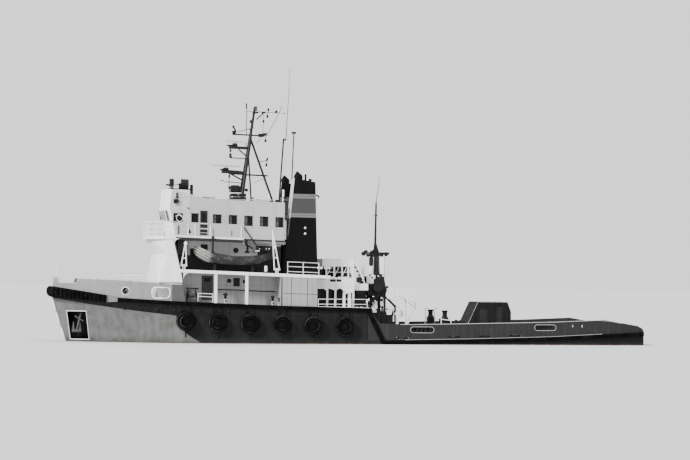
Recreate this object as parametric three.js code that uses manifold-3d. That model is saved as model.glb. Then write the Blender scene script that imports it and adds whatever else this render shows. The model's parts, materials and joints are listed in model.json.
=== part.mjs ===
// Anchor-handling tug with a long low working deck, as a 1:2 scale model, in millimetres.
// X runs aft from amidships, Y to starboard and Z up from the waterline.
// The bow is at negative X. Port is at negative Y, and port and starboard pieces are mirror images.
import * as THREE from 'three';
import { mergeVertices } from 'three/addons/utils/BufferGeometryUtils.js';
import Module from 'manifold-3d';

const wasm = await Module();
wasm.setup();

// Driving dimensions
const GAP = 0.5; // clearance between pieces that meet face to face
const PLATE = 30; // bulwark and screen plating
const WALL = 40; // deckhouse walls
const KEEL = -2100;
const STERN = 11980;
const FORECASTLE_END = 600;
const SIDE = { port: -1, stbd: 1 };

// The superstructure's decks slope down towards the stern, parallel to the sheer amidships.
const DECK_SLOPE = 1 / 30;
const SLOPE_ORIGIN = -4600; // where the level heights below are true
const FORECASTLE = 1567;
const BOAT_DECK = 2835;
const BRIDGE_DECK = 4120;
const WHEELHOUSE_ROOF = 5380;
const DECK_THICK = 120;

const PAINT = {
  hull: [0x2b2d30, 0.55, 0.1],
  white: [0xe9e8e3, 0.5, 0.0],
  house: [0xc9c8c2, 0.55, 0.0],
  dark: [0x1d1d1f, 0.5, 0.2],
  rubber: [0x161616, 0.9, 0.0],
  funnel: [0x222326, 0.5, 0.1],
  steel: [0x6d6f70, 0.4, 0.8],
  bronze: [0xa87c3c, 0.35, 0.9],
  wood: [0x6b5a44, 0.85, 0.0],
  boat: [0x75746e, 0.6, 0.0],
  glass: [0x20282c, 0.1, 0.0],
  antifouling: [0x5c2a22, 0.7, 0.0],
};

// Solids: closed three.js geometry in, a solid for joining and cutting out

const VERTICAL_FROM_XY = new THREE.Matrix4().makeRotationX(Math.PI / 2);

function solid(geometry) {
  const bare = geometry.clone();
  for (const name of ['normal', 'uv']) bare.deleteAttribute(name);
  const merged = mergeVertices(bare, 1e-3);
  const mesh = new wasm.Mesh({
    numProp: 3,
    vertProperties: new Float32Array(merged.attributes.position.array),
    triVerts: new Uint32Array(merged.index.array),
  });
  return new wasm.Manifold(mesh);
}

function join(solids) {
  return solids.reduce((all, one) => all.add(one));
}

function box([x0, x1], [y0, y1], [z0, z1]) {
  const geometry = new THREE.BoxGeometry(x1 - x0, y1 - y0, z1 - z0);
  geometry.translate((x0 + x1) / 2, (y0 + y1) / 2, (z0 + z1) / 2);
  return solid(geometry);
}

function extruded(outline, depth, holes = []) {
  const shape = new THREE.Shape(outline.map(([u, v]) => new THREE.Vector2(u, v)));
  for (const hole of holes) shape.holes.push(new THREE.Path(hole.map(([u, v]) => new THREE.Vector2(u, v))));
  return new THREE.ExtrudeGeometry(shape, { depth, bevelEnabled: false, curveSegments: 8 });
}

// An outline in X and Z, from y0 to y1
function profile(outline, [y0, y1], holes) {
  const geometry = extruded(outline, y1 - y0, holes);
  geometry.applyMatrix4(VERTICAL_FROM_XY);
  geometry.translate(0, y1, 0);
  return solid(geometry);
}

// An outline in X and Y, from z0 to z1
function plan(outline, [z0, z1], holes) {
  const geometry = extruded(outline, z1 - z0, holes);
  geometry.translate(0, 0, z0);
  return solid(geometry);
}

// A round bar, or a cone, from one point to another
function bar(from, to, radius, sides = 8, endRadius = radius) {
  const a = new THREE.Vector3(...from);
  const b = new THREE.Vector3(...to);
  const along = b.clone().sub(a);
  const geometry = new THREE.CylinderGeometry(endRadius, radius, along.length(), sides);
  geometry.applyQuaternion(
    new THREE.Quaternion().setFromUnitVectors(new THREE.Vector3(0, 1, 0), along.normalize()),
  );
  geometry.translate(...a.add(b).divideScalar(2).toArray());
  return solid(geometry);
}

function drumAcross(x, [y0, y1], z, radius, sides = 24) {
  return bar([x, y0, z], [x, y1, z], radius, sides);
}

// A closed solid from rings of points, each ring the same count, given from one end to the other.
// A ring is capped by a fan from its centre or, if it is bent, by rungs between its mirrored points.
function loft(rings, rungs = false) {
  const count = rings[0].length;
  const points = rings.flat();
  const triangles = [];
  for (let r = 0; r + 1 < rings.length; r++) {
    for (let k = 0; k < count; k++) {
      const a = r * count + k;
      const b = r * count + ((k + 1) % count);
      triangles.push(a, b, a + count, b, b + count, a + count);
    }
  }
  const last = (rings.length - 1) * count;
  if (rungs) {
    triangles.push(0, count - 1, 1, last, last + 1, last + count - 1);
    for (let k = 1; k < (count - 1) / 2; k++) {
      const [a, b, c, d] = [k, k + 1, count - k - 1, count - k];
      triangles.push(a, c, b, a, d, c, last + a, last + b, last + c, last + a, last + c, last + d);
    }
  } else {
    const capStart = points.length;
    const centre = (ring) => [0, 1, 2].map((i) => ring.reduce((sum, p) => sum + p[i], 0) / count);
    points.push(centre(rings[0]), centre(rings[rings.length - 1]));
    for (let k = 0; k < count; k++) {
      const next = (k + 1) % count;
      triangles.push(capStart, next, k, capStart + 1, last + k, last + next);
    }
  }
  const geometry = new THREE.BufferGeometry();
  geometry.setAttribute('position', new THREE.Float32BufferAttribute(points.flat(), 3));
  geometry.setIndex(triangles);
  const shape = solid(geometry);
  return shape.volume() > 0 || rungs ? shape : loft(rings.map((ring) => [...ring].reverse()));
}

// A square bar from one point to another, its ends run out by half its width
function beam(from, to, width) {
  const a = new THREE.Vector3(...from);
  const b = new THREE.Vector3(...to);
  const x = b.clone().sub(a);
  const geometry = new THREE.BoxGeometry(x.length() + width, width, width);
  x.normalize();
  const upright = Math.abs(x.z) > 0.99;
  const y = upright ? new THREE.Vector3(0, 1, 0) : new THREE.Vector3(0, 0, 1).cross(x).normalize();
  const z = x.clone().cross(y);
  geometry.applyMatrix4(new THREE.Matrix4().makeBasis(x, y, z));
  geometry.translate(...a.add(b).divideScalar(2).toArray());
  return solid(geometry);
}

// A railing along a line of [x, y] points: posts a fair spacing apart, and a bar at each height
function railing(line, foot, heights, spacing = 620, width = 22) {
  const parts = [];
  const top = foot + Math.max(...heights);
  line.slice(1).forEach(([x1, y1], i) => {
    const [x0, y0] = line[i];
    const posts = Math.max(1, Math.round(Math.hypot(x1 - x0, y1 - y0) / spacing));
    for (let k = i ? 1 : 0; k <= posts; k++) {
      const [x, y] = [x0 + ((x1 - x0) * k) / posts, y0 + ((y1 - y0) * k) / posts];
      parts.push(box([x - width / 2, x + width / 2], [y - width / 2, y + width / 2], [foot - 3, top]));
    }
    for (const h of heights) parts.push(
      beam([x0, y0, foot + h - width / 2], [x1, y1, foot + h - width / 2], width - 4),
    );
  });
  return join(parts);
}

// Value of a table of [position, value] rows at a position, in straight lines between rows
function along(rows, x) {
  if (x <= rows[0][0]) return rows[0][1];
  for (let i = 1; i < rows.length; i++) {
    const [x0, v0] = rows[i - 1];
    const [x1, v1] = rows[i];
    if (x <= x1) return v0 + ((v1 - v0) * (x - x0)) / (x1 - x0);
  }
  return rows[rows.length - 1][1];
}

// Nodes: named meshes, each in its paint

const tug = new THREE.Group();
const SLOPE = new THREE.Matrix4().set(
  1, 0, 0, 0,
  0, 1, 0, 0,
  -DECK_SLOPE, 0, 1, DECK_SLOPE * SLOPE_ORIGIN,
  0, 0, 0, 1,
);

function node(name, shape, paint) {
  const mesh = shape.getMesh();
  const geometry = new THREE.BufferGeometry();
  geometry.setAttribute('position', new THREE.Float32BufferAttribute(mesh.vertProperties, 3));
  geometry.setIndex([...mesh.triVerts]);
  geometry.computeVertexNormals();
  const [color, roughness, metalness] = PAINT[paint];
  const piece = new THREE.Mesh(geometry, new THREE.MeshStandardMaterial({ color, roughness, metalness }));
  piece.name = name;
  tug.add(piece);
  return piece;
}

// Turns level superstructure shapes to the slope of the decks
function sloped(shape) {
  return shape.transform(SLOPE.elements);
}

// Hull

const SHEER = [
  [-11760, 2200], [-9700, 1875], [-9258, 1771], [-6685, 1636], [-2960, 1512], [646, 1439], [12000, 1380],
];
const MAIN_DECK = [[500, 150], [1290, 156], [5000, 230], [8142, 329], [11808, 528], [12100, 540]];
// How far the stem stands ahead of its place at the waterline, by height
const STEM_RAKE = [
  [-2100, 1890], [-1900, 1300], [-1500, 750], [-900, 330], [0, 0], [1705, -565], [2225, -570], [2600, -400],
];
const STATIONS = [
  // x at the waterline, lean with the stem, keel height, fullness, half-breadth at water and at deck
  { x: -11190, lean: 1.0, keel: KEEL, full: 2.0, water: 30, deck: 210 },
  { x: -10850, lean: 0.9, keel: KEEL, full: 1.8, water: 240, deck: 790 },
  { x: -10400, lean: 0.72, keel: KEEL, full: 1.8, water: 520, deck: 1340 },
  { x: -9850, lean: 0.5, keel: KEEL, full: 1.9, water: 880, deck: 1800 },
  { x: -9200, lean: 0.28, keel: KEEL, full: 2.0, water: 1290, deck: 2210 },
  { x: -8450, lean: 0.1, keel: KEEL, full: 2.2, water: 1720, deck: 2560 },
  { x: -7600, lean: 0, keel: KEEL, full: 2.5, water: 2150, deck: 2790 },
  { x: -6600, lean: 0, keel: KEEL, full: 2.8, water: 2540, deck: 2890 },
  { x: -5400, lean: 0, keel: KEEL, full: 3.3, water: 2790, deck: 2900 },
  { x: -4000, lean: 0, keel: KEEL, full: 4.0, water: 2890, deck: 2900 },
  { x: -1000, lean: 0, keel: KEEL, full: 4.5, water: 2900, deck: 2900 },
  { x: 3000, lean: 0, keel: KEEL, full: 4.5, water: 2900, deck: 2900 },
  { x: 5000, lean: 0, keel: -1980, full: 3.8, water: 2900, deck: 2900 },
  { x: 7000, lean: 0, keel: -1420, full: 3.2, water: 2880, deck: 2900 },
  { x: 8600, lean: 0, keel: -760, full: 3.2, water: 2840, deck: 2890 },
  { x: 9600, lean: 0, keel: -480, full: 3.6, water: 2800, deck: 2870 },
  { x: 10800, lean: 0, keel: -340, full: 4.5, water: 2740, deck: 2830 },
  { x: 11760, lean: 0, keel: -280, full: 5.0, water: 2680, deck: 2770 },
  { x: STERN, lean: 0, keel: -260, full: 5.0, water: 2640, deck: 2640 },
];
const BILGE_STEPS = 8;
const FLARE_STEPS = [0.25, 0.5, 0.75, 1];
const FLARE_POWER = 1.25;
const ABOVE_DECK = 1100; // the loft runs on above the deck, to carry the bulwarks

// The hull's outer form, to well above the deck. grow moves its sides out, and growBow its stem ahead.
function hullForm(grow = 0, growBow = grow) {
  const rings = STATIONS.map((s) => {
    const deckX = s.x + s.lean * along(STEM_RAKE, 2200);
    const deckZ = along(SHEER, deckX);
    const side = [];
    for (let k = 0; k <= BILGE_STEPS; k++) {
      const angle = (k / BILGE_STEPS) * (Math.PI / 2);
      side.push([
        s.water * Math.sin(angle) ** (2 / s.full), (s.keel - grow) * Math.cos(angle) ** (2 / s.full),
      ]);
    }
    for (const up of FLARE_STEPS) side.push([s.water + (s.deck - s.water) * up ** FLARE_POWER, deckZ * up]);
    side.push([s.deck, deckZ + ABOVE_DECK]);
    const stern = s.x === STERN ? grow : 0;
    const point = (y, z) => [s.x + stern + s.lean * (along(STEM_RAKE, z) - growBow), y, z];
    const starboard = side.map(([y, z], k) => point(k === 0 ? 0 : Math.max(y + grow, 5), z));
    const port = side.slice(1).map(([y, z]) => point(-Math.max(y + grow, 5), z)).reverse();
    return [...starboard, ...port];
  });
  return loft(rings, true);
}

// Half-breadth of the hull at a station and height above water, aft of the raked bow
function sideAt(x, z) {
  const water = along(STATIONS.map((s) => [s.x, s.water]), x);
  const deck = along(STATIONS.map((s) => [s.x, s.deck]), x);
  const up = Math.min(Math.max(z / along(SHEER, x), 0), 1);
  return water + (deck - water) * up ** FLARE_POWER;
}

const WIDE = [-4000, 4000];
const HIGH = 9000;
const deckLine = (lift) => [
  ...SHEER.filter(([x]) => x < FORECASTLE_END).map(([x, z]) => [x, z + lift]),
  [FORECASTLE_END + lift, along(SHEER, FORECASTLE_END) + lift],
  [FORECASTLE_END + lift, along(MAIN_DECK, FORECASTLE_END) + lift],
  ...MAIN_DECK.slice(1).map(([x, z]) => [x, z + lift]),
];
const aboveDecks = (lift) => profile(
  [
    [-13000, HIGH], [-13000, SHEER[0][1] + lift], ...deckLine(lift),
    [13000, along(MAIN_DECK, 13000) + lift], [13000, HIGH],
  ],
  WIDE,
);

const POCKET = {
  topFore: -11178, topAft: -10488, bottomFore: -11002, bottomAft: -10335, top: 1195, bottom: 120,
  depth: 420,
};
const SKEG = { fore: 2500, aft: 9000, half: 70 };
const SHAFT = { y: 1350, z: -1330, propeller: 9900, nozzle: 790, reach: 460 };

function anchorPocket(side) {
  const p = POCKET;
  const outline = [[p.topFore, p.top], [p.topAft, p.top], [p.bottomAft, p.bottom], [p.bottomFore, p.bottom]];
  const inner = hullForm(-p.depth, 0);
  const through = profile(outline, side < 0 ? [-3000, -60] : [60, 3000]);
  return through.subtract(inner);
}

function hull() {
  const skeg = profile(
    [
      [SKEG.fore, KEEL], [SKEG.aft - 350, KEEL], [SKEG.aft, -1700], [SKEG.aft + 150, -600],
      [SKEG.fore, -1800],
    ],
    [-SKEG.half, SKEG.half],
  );
  let form = hullForm().subtract(aboveDecks(0)).add(skeg);
  for (const side of [-1, 1]) {
    const bossing = bar(
      [6300, side * SHAFT.y, SHAFT.z + 60], [SHAFT.propeller - 620, side * SHAFT.y, SHAFT.z], 190, 16, 120,
    );
    form = form.add(bossing).subtract(anchorPocket(side));
  }
  return form;
}

const hullForGap = hullForm(GAP).subtract(aboveDecks(GAP));
const hullOuter = hullForm();
const hullOuterGap = hullForm(GAP);
const hullInner = hullForm(-PLATE);
const onDeck = (shape) => shape.subtract(hullForGap);

// Bulwarks

const FORE_RAIL = [
  // top edge of the forecastle bulwark, from the stem aft
  [-11900, 2568], [-11570, 2556], [-11530, 2330], [-10850, 2330], [-10806, 2518], [-9258, 2462],
  [-7800, 2372], [-6803, 2315],
];
const AFT_RAIL = [
  [1085, 835], [2138, 800], [5000, 860], [8195, 936], [10280, 1032], [11700, 790], [11900, 690],
  [12000, 560],
];
const CHOCK = { x: -8994, z: 2036, radius: 150 };
const MOORING_PORT = { fore: -7978, aft: -7275, z: [1740, 2215] };

function roundedSlot([x0, x1], [z0, z1], radius, steps = 4) {
  const corners = [
    [x1 - radius, z1 - radius, 0], [x0 + radius, z1 - radius, 1], [x0 + radius, z0 + radius, 2],
    [x1 - radius, z0 + radius, 3],
  ];
  return corners.flatMap(([cx, cz, quarter]) => Array.from({ length: steps + 1 }, (_, k) => {
    const angle = (quarter + k / steps) * (Math.PI / 2);
    return [cx + radius * Math.cos(angle), cz + radius * Math.sin(angle)];
  }));
}

function bulwarkFore() {
  const lowered = SHEER.filter(([x]) => x < -6803).map(([x, z]) => [x, z + GAP]);
  const outline = [
    [-12300, 2568], ...FORE_RAIL, [-6666, along(SHEER, -6666) + GAP], ...lowered.reverse(),
    [-12300, SHEER[0][1] + GAP],
  ];
  let shape = hullOuter.intersect(profile(outline, WIDE)).subtract(hullInner);
  shape = shape.subtract(bar([CHOCK.x, -4000, CHOCK.z], [CHOCK.x, 4000, CHOCK.z], CHOCK.radius, 16));
  return shape.subtract(
    profile(roundedSlot([MOORING_PORT.fore, MOORING_PORT.aft], MOORING_PORT.z, 120), WIDE),
  );
}

// A strip that follows the top of the fore bulwark and stands a gap clear of it all round
const foreRailGap = profile(
  [...FORE_RAIL.map(([x, z]) => [x, z + GAP]), [-6660, 2320], [-6660, 1500], [-11900, 1500]], WIDE,
)
  .intersect(hullForm(GAP)).subtract(hullForm(-PLATE - GAP));

const FREEING = { starts: [1740, 3850, 5100, 6350], length: 500, height: 100 };
const AFT_SLOTS = [[2330, 3250], [7400, 8250]]; // mooring openings in the aft bulwark

// The aft bulwark is plated in two lengths that meet at a butt
const BULWARK_BUTT = 5480;

function bulwarkAft(side) {
  const foot = MAIN_DECK.slice(1).map(([x, z]) => [x, z + GAP]).reverse();
  const outline = [
    [FORECASTLE_END + GAP, along(SHEER, FORECASTLE_END) - 20], [660, 1405], ...AFT_RAIL,
    [12050, along(MAIN_DECK, 12050) + GAP],
    ...foot, [FORECASTLE_END + GAP, along(MAIN_DECK, FORECASTLE_END) + GAP],
  ];
  const half = side < 0 ? [-4000, -1000] : [1000, 4000];
  let shape = hullOuter.intersect(profile(outline, half)).subtract(hullInner);
  for (const start of FREEING.starts) {
    const z = along(MAIN_DECK, start + FREEING.length / 2);
    shape = shape.subtract(box([start, start + FREEING.length], half, [z + 30, z + 30 + FREEING.height]));
  }
  for (const [x0, x1] of AFT_SLOTS) {
    const z = along(AFT_RAIL, (x0 + x1) / 2);
    shape = shape.subtract(profile(roundedSlot([x0, x1], [z - 330, z - 120], 100), half));
  }
  return shape;
}

node('bulwark_fore', bulwarkFore(), 'house');
for (const [name, side] of Object.entries(SIDE)) {
  const wall = bulwarkAft(side);
  node(`bulwark_aft_${name}`, wall.intersect(box([0, BULWARK_BUTT], WIDE, [0, 3000])), 'hull');
  node(`bulwark_quarter_${name}`, wall.intersect(box([BULWARK_BUTT + GAP, 13000], WIDE, [0, 3000])), 'hull');
}

// Fenders

const BOW_FENDER = { aft: -9720, side: 110, ahead: 240, ribs: 13, pitch: 160, groove: 34 };

function bowFender() {
  const f = BOW_FENDER;
  const outline = [
    [-11870, 2212], [-11762, 2195], [f.aft, 1868], [f.aft, 1590], [-10325, 1640], [-11092, 1700],
    [-11800, 1765],
    [-11900, 1810], [-11965, 1880], [-12000, 1970], [-11995, 2070], [-11950, 2160],
  ];
  const grown = hullForm(f.side, f.ahead);
  const mass = profile(outline, WIDE).intersect(grown).subtract(hullOuterGap);
  const core = profile(outline, WIDE).intersect(hullForm(f.side - 38, f.ahead - 38));
  const grooves = join(Array.from({ length: f.ribs }, (_, k) => {
    const x = f.aft - 60 - k * f.pitch;
    return box([x - f.groove, x], WIDE, [1500, 2300]);
  })).subtract(core);
  return mass.subtract(grooves);
}

const STRAKE = { out: 75, deep: 150 };
const TYRE = {
  centre: 285, tube: 108, xs: [-6646, -5396, -4116, -2844, -1606, -343], z: [[-6646, 863], [-343, 690]],
};

function tyre(x, side, sides = 12, tubeSides = 6) {
  const z = along(TYRE.z, x);
  const geometry = new THREE.TorusGeometry(TYRE.centre, TYRE.tube, tubeSides, sides);
  geometry.rotateX(Math.PI / 2);
  const slant = Math.atan2(sideAt(x + 400, z) - sideAt(x - 400, z), 800);
  geometry.rotateZ(side * slant);
  geometry.translate(x, side * (sideAt(x, z) + TYRE.tube + 35), z);
  return solid(geometry);
}

function sideFender(side) {
  const s = STRAKE;
  const half = side < 0 ? [-4000, -500] : [500, 4000];
  const top = [...SHEER.filter(([x]) => x > -9300 && x < 600), [646, 1439]];
  const aft = MAIN_DECK.slice(1, -1);
  const outline = [
    [-9720, 1700], [-9710, along(SHEER, -9710) - 8],
    ...top.map(([x, z]) => [x, z - 8]),
    ...aft.map(([x, z]) => [x, z - 4]),
    [STERN - 10, along(MAIN_DECK, STERN) - 4], [STERN - 10, along(MAIN_DECK, STERN) - s.deep],
    ...aft.map(([x, z]) => [x - (x < 2000 ? 130 : 0), z - s.deep]).reverse(),
    ...top.map(([x, z]) => [x - (x > 600 ? 110 : 0), z - s.deep]).reverse(), [-9720, 1590],
  ];
  const zone = box([-9718, 12500], half, [-2000, 3000]);
  const strake = profile(outline, half).intersect(hullForm(s.out)).subtract(hullOuterGap).intersect(zone);
  const hung = TYRE.xs.flatMap((x) => {
    const z = along(TYRE.z, x);
    const y = side * (sideAt(x, z) + TYRE.tube + 35);
    const head = along(SHEER, x) - s.deep / 2;
    const chain = (dx) => bar(
      [x + dx, y, z + TYRE.centre * 0.9], [x + dx * 1.35, side * (sideAt(x, head) + 55), head], 14, 4,
    );
    return [tyre(x, side), chain(-150), chain(150)];
  });
  return join([strake, ...hung]).subtract(hullOuterGap);
}

node('fender_bow', bowFender(), 'rubber');
for (const [name, side] of Object.entries(SIDE)) node(`fender_${name}`, sideFender(side), 'rubber');

// Anchors, each hung by its shank in its pocket in the bow

function anchor(side) {
  const shank = bar([-10640, side * 640, 1150], [-10790, side * 425, 470], 42, 8);
  const crown = bar([-10990, side * 405, 430], [-10610, side * 405, 430], 62, 10);
  const stock = beam([-10860, side * 600, 1010], [-10560, side * 560, 830], 50);
  const fluke = (x) => loft([
    [
      [x - 60, side * 405 - 34, 430], [x + 60, side * 405 - 34, 430], [x + 60, side * 405 + 34, 430],
      [x - 60, side * 405 + 34, 430],
    ],
    [
      [x - 14, side * 520 - 10, 800], [x + 14, side * 520 - 10, 800], [x + 14, side * 520 + 10, 800],
      [x - 14, side * 520 + 10, 800],
    ],
  ]);
  return join([shank, crown, stock, fluke(-10930), fluke(-10670)]);
}

// Rudders, propellers and nozzles

function nozzle(side) {
  const inner = 690;
  const p = SHAFT;
  const profileRing = [
    [inner + 12, -p.reach / 2], [p.nozzle, -p.reach / 2 + 60], [p.nozzle - 30, p.reach / 2],
    [inner + 22, p.reach / 2], [inner, 0],
  ];
  const ring = new THREE.LatheGeometry(
    [...profileRing, profileRing[0]].map(([r, h]) => new THREE.Vector2(r, h)), 32,
  );
  ring.rotateZ(-Math.PI / 2);
  ring.translate(p.propeller, side * p.y, p.z);
  const strut = box(
    [p.propeller - 200, p.propeller + 200], [side * p.y - 60, side * p.y + 60], [p.z + p.nozzle - 60, -200],
  );
  return join([solid(ring), strut]).subtract(hullForGap);
}

const BLADES = 4;

const BLADE_ROWS = [
  // radius, half chord, half thickness, pitch in radians
  [60, 90, 28, 0.95], [250, 190, 22, 0.75], [450, 230, 15, 0.55], [650, 130, 8, 0.42],
];
const BLADE_RAKE = 0.55; // keeps the blade within the nozzle's length

function portBlade(turn) {
  const p = SHAFT;
  return loft(BLADE_ROWS.map(([radius, chord, thick, pitch]) => {
    const [c, s] = [Math.cos(pitch), -Math.sin(pitch)];
    return [[-chord, -thick], [chord, -thick], [chord, thick], [-chord, thick]].map(([u, v]) => {
      const x = (u * s + v * c) * BLADE_RAKE;
      const w = u * c - v * s;
      const y = radius * Math.cos(turn) - w * Math.sin(turn);
      return [p.propeller + x, y - p.y, p.z + radius * Math.sin(turn) + w * Math.cos(turn)];
    });
  }));
}

function propeller(side) {
  const p = SHAFT;
  const hub = bar([p.propeller - 130, -p.y, p.z], [p.propeller + 150, -p.y, p.z], 110, 16, 70);
  const tail = bar([p.propeller - 610, -p.y, p.z], [p.propeller - 100, -p.y, p.z], 55, 12);
  const blades = Array.from({ length: BLADES }, (_, k) => portBlade((k / BLADES) * 2 * Math.PI + 0.4));
  return join([hub, tail, ...blades]).transform(new THREE.Matrix4().makeScale(1, -side, 1).elements);
}

const RUDDER = { stock: 10720, fore: 10420, aft: 11330, top: -620, bottom: -2040, half: 70 };

function rudder(side) {
  const r = RUDDER;
  const y = side * SHAFT.y;
  const foil = plan(
    [
      [r.fore, y], [r.fore + 60, y + 50], [r.stock, y + r.half], [r.aft, y + 8], [r.aft, y - 8],
      [r.stock, y - r.half], [r.fore + 60, y - 50],
    ],
    [r.bottom, r.top],
  );
  const stock = bar([r.stock, y, r.top - 50], [r.stock, y, -365], 55, 12);
  return foil.add(stock);
}

for (const [name, side] of Object.entries(SIDE)) {
  node(`anchor_${name}`, anchor(side), 'dark');
  node(`nozzle_${name}`, nozzle(side), 'antifouling');
  node(`propeller_${name}`, propeller(side), 'bronze');
  node(`rudder_${name}`, rudder(side), 'antifouling');
}

// Working deck: planking, stern roller, winch, posts

const PLANK = { fore: 2350, aft: 11150, half: 2380, thick: 35 };

function planking(thick = PLANK.thick) {
  const line = (lift) => [
    [PLANK.fore, along(MAIN_DECK, PLANK.fore) + lift], [5000, along(MAIN_DECK, 5000) + lift],
    [8142, along(MAIN_DECK, 8142) + lift], [PLANK.aft, along(MAIN_DECK, PLANK.aft) + lift],
  ];
  return profile([...line(GAP), ...line(thick).reverse()], [-PLANK.half, PLANK.half]);
}

const ROLLER = { x: 11640, z: 410, radius: 270, half: 1150 };

function rollerRecess() {
  return drumAcross(ROLLER.x, [-ROLLER.half - 20, ROLLER.half + 20], ROLLER.z, ROLLER.radius + 20).add(
    box([ROLLER.x, 12300], [-ROLLER.half - 20, ROLLER.half + 20], [ROLLER.z - ROLLER.radius - 20, 1200]),
  );
}

node(
  'hull',
  hull().subtract(rollerRecess()).subtract(
    bar([ROLLER.x, -1600, ROLLER.z], [ROLLER.x, 1600, ROLLER.z], 62, 12),
  ),
  'hull',
);
node(
  'stern_roller',
  join([
    drumAcross(ROLLER.x, [-ROLLER.half, ROLLER.half], ROLLER.z, ROLLER.radius),
    drumAcross(ROLLER.x, [-1500, 1500], ROLLER.z, 55, 12),
  ]),
  'steel',
);
node('deck_planking', planking(), 'wood');

const WINCH = { half: 900, top: 2700 };
const WINCH_BED = { x: [1100, 1950], top: 1290 };
const DRUMS = [
  // name, place, drum and flange radii
  { name: 'main', x: 1280, z: 2250, drum: 250, flange: 370 },
  { name: 'aft', x: 1815, z: 1955, drum: 120, flange: 205 },
];

// Each cheek of the winch: a head that carries the drums, on open legs above a sill
const CHEEK = {
  head: [
    [900, 1930], [1560, 1930], [1610, 1840], [1930, 1840], [1930, 2040], [1660, 2120], [1640, 2300],
    [1560, 2700], [960, 2700], [900, 2300],
  ],
  legs: [[830, 910, 1600], [1300, 1420, 1950], [1560, 1640, 1950], [2000, 2080, 1560]],
  sill: [800, 2110, 260],
  struts: [[860, 1550, 1700, 2280], [1510, 2010, 2040, 1480]],
};

function winchFrame() {
  const y = WINCH.half + 60;
  const plates = [-y, y].map((at) => {
    const [x0, x1, top] = CHEEK.sill;
    const legs = CHEEK.legs.map(([fore, aft, head]) => box([fore, aft], [at - 40, at + 40], [100, head]));
    const struts = CHEEK.struts.map(([xa, za, xb, zb]) => beam([xa, at, za], [xb, at, zb], 84));
    return join([
      profile(CHEEK.head, [at - 40, at + 40]), box([x0, x1], [at - 40, at + 40], [100, top]), ...legs,
      ...struts,
    ]);
  });
  const tie = (x, z) => box([x - 50, x + 50], [-y, y], [z - 50, z + 50]);
  const top = box([960, 1560], [-y - 40, y + 40], [WINCH.top - 50, WINCH.top]);
  const bed = box(WINCH_BED.x, [-y, y], [100, WINCH_BED.top]);
  const bores = DRUMS.map((d) => bar([d.x, -2000, d.z], [d.x, 2000, d.z], 68, 12));
  const ties = [tie(870, 210), tie(2040, 210), tie(1360, 1500)];
  return onDeck(join([...plates, ...ties, top, bed]).subtract(join(bores)));
}

function winchDrum(d) {
  const w = WINCH;
  const core = drumAcross(d.x, [-w.half + 20, w.half - 20], d.z, d.drum, 18);
  const flange = (y) => drumAcross(d.x, [y, y + 40], d.z, d.flange, 20);
  const reach = w.half + 320;
  const spindle = drumAcross(d.x, [-reach, reach], d.z, 58, 12);
  const head = (y) => drumAcross(d.x, [y, y + 120], d.z, Math.min(d.flange, 185), 16);
  return join([core, flange(-w.half + 15), flange(w.half - 55), spindle, head(-reach), head(reach - 120)]);
}

node('winch_frame', winchFrame(), 'dark');
for (const d of DRUMS) node(`winch_drum_${d.name}`, winchDrum(d), d.name === 'main' ? 'dark' : 'white');

// Deckhouses

const HOUSE_HALF = 2100;
const UPPER_HALF = 1800;
const SCREEN = { fore: -2923, aft: -1446, half: 2870 };
const DECK_DOOR = { x: [-5975, -5520], z: [1660, 2640] };
const doorCut = (d, y) => box(d.x, y, d.z);

function mainHouse() {
  const s = SCREEN;
  const outer = [
    [-6740, -HOUSE_HALF], [s.fore, -HOUSE_HALF], [s.fore, -s.half], [s.aft, -s.half], [s.aft, s.half],
    [s.fore, s.half], [s.fore, HOUSE_HALF], [-6740, HOUSE_HALF],
  ];
  const w = WALL;
  const inner = [
    [-6740 + w, -HOUSE_HALF + w], [s.fore + w, -HOUSE_HALF + w], [s.fore + w, -s.half + w],
    [s.aft - w, -s.half + w], [s.aft - w, s.half - w], [s.fore + w, s.half - w],
    [s.fore + w, HOUSE_HALF - w], [-6740 + w, HOUSE_HALF - w],
  ];
  const walls = plan(outer, [FORECASTLE - 150, BOAT_DECK - DECK_THICK - GAP], [inner]);
  return walls.subtract(doorCut(DECK_DOOR, WIDE));
}

node('deckhouse_main', onDeck(sloped(mainHouse())), 'house');

const TOWER = [
  // level height, front on the centreline, front at the side, aft edge
  { z: FORECASTLE - 60, front: -7850, side: -7720, aft: -6742 },
  { z: 2280, front: -7900, side: -7754, aft: -6790 },
  { z: 3420, front: -7700, side: -7390, aft: -6990 },
  { z: BRIDGE_DECK - DECK_THICK - GAP, front: -7940, side: -7480, aft: -7110 },
];
const TOWER_HALF = 2850;
const TOWER_INSET = 260; // between the tower's foot and the bulwark, where mooring lines run
const TOWER_SHOULDER = 2400; // above this the tower is as wide as the ship

function tower() {
  const rings = TOWER.map(({ z, front, side, aft }) => [
    [front, -1250, z], [front, 1250, z], [side, TOWER_HALF, z],
    [aft, TOWER_HALF, z], [aft, -TOWER_HALF, z], [side, -TOWER_HALF, z],
  ]);
  return loft(rings);
}

const towerFoot = hullForm(-PLATE - TOWER_INSET);
const towerHead = box([-9000, -6000], [-2860, 2860], [TOWER_SHOULDER, 6000]);
node(
  'superstructure_front', onDeck(sloped(tower()).intersect(towerFoot.add(towerHead)).subtract(foreRailGap)),
  'white',
);

const BOAT = { fore: -6330, aft: -3300, half: 440, y: 2475, keel: 3100, gunwale: 3430 };
const DAVIT_PIN = { y: 2790, z: BOAT_DECK + 150 };
const DAVIT_FEET = [-6750, -3055];
const DAVIT_LUG = { at: 38, half: 15 };
const BOAT_DECK_ENDS = [-6900, -925];
const PILLARS = [-5483, -4255];

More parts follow.
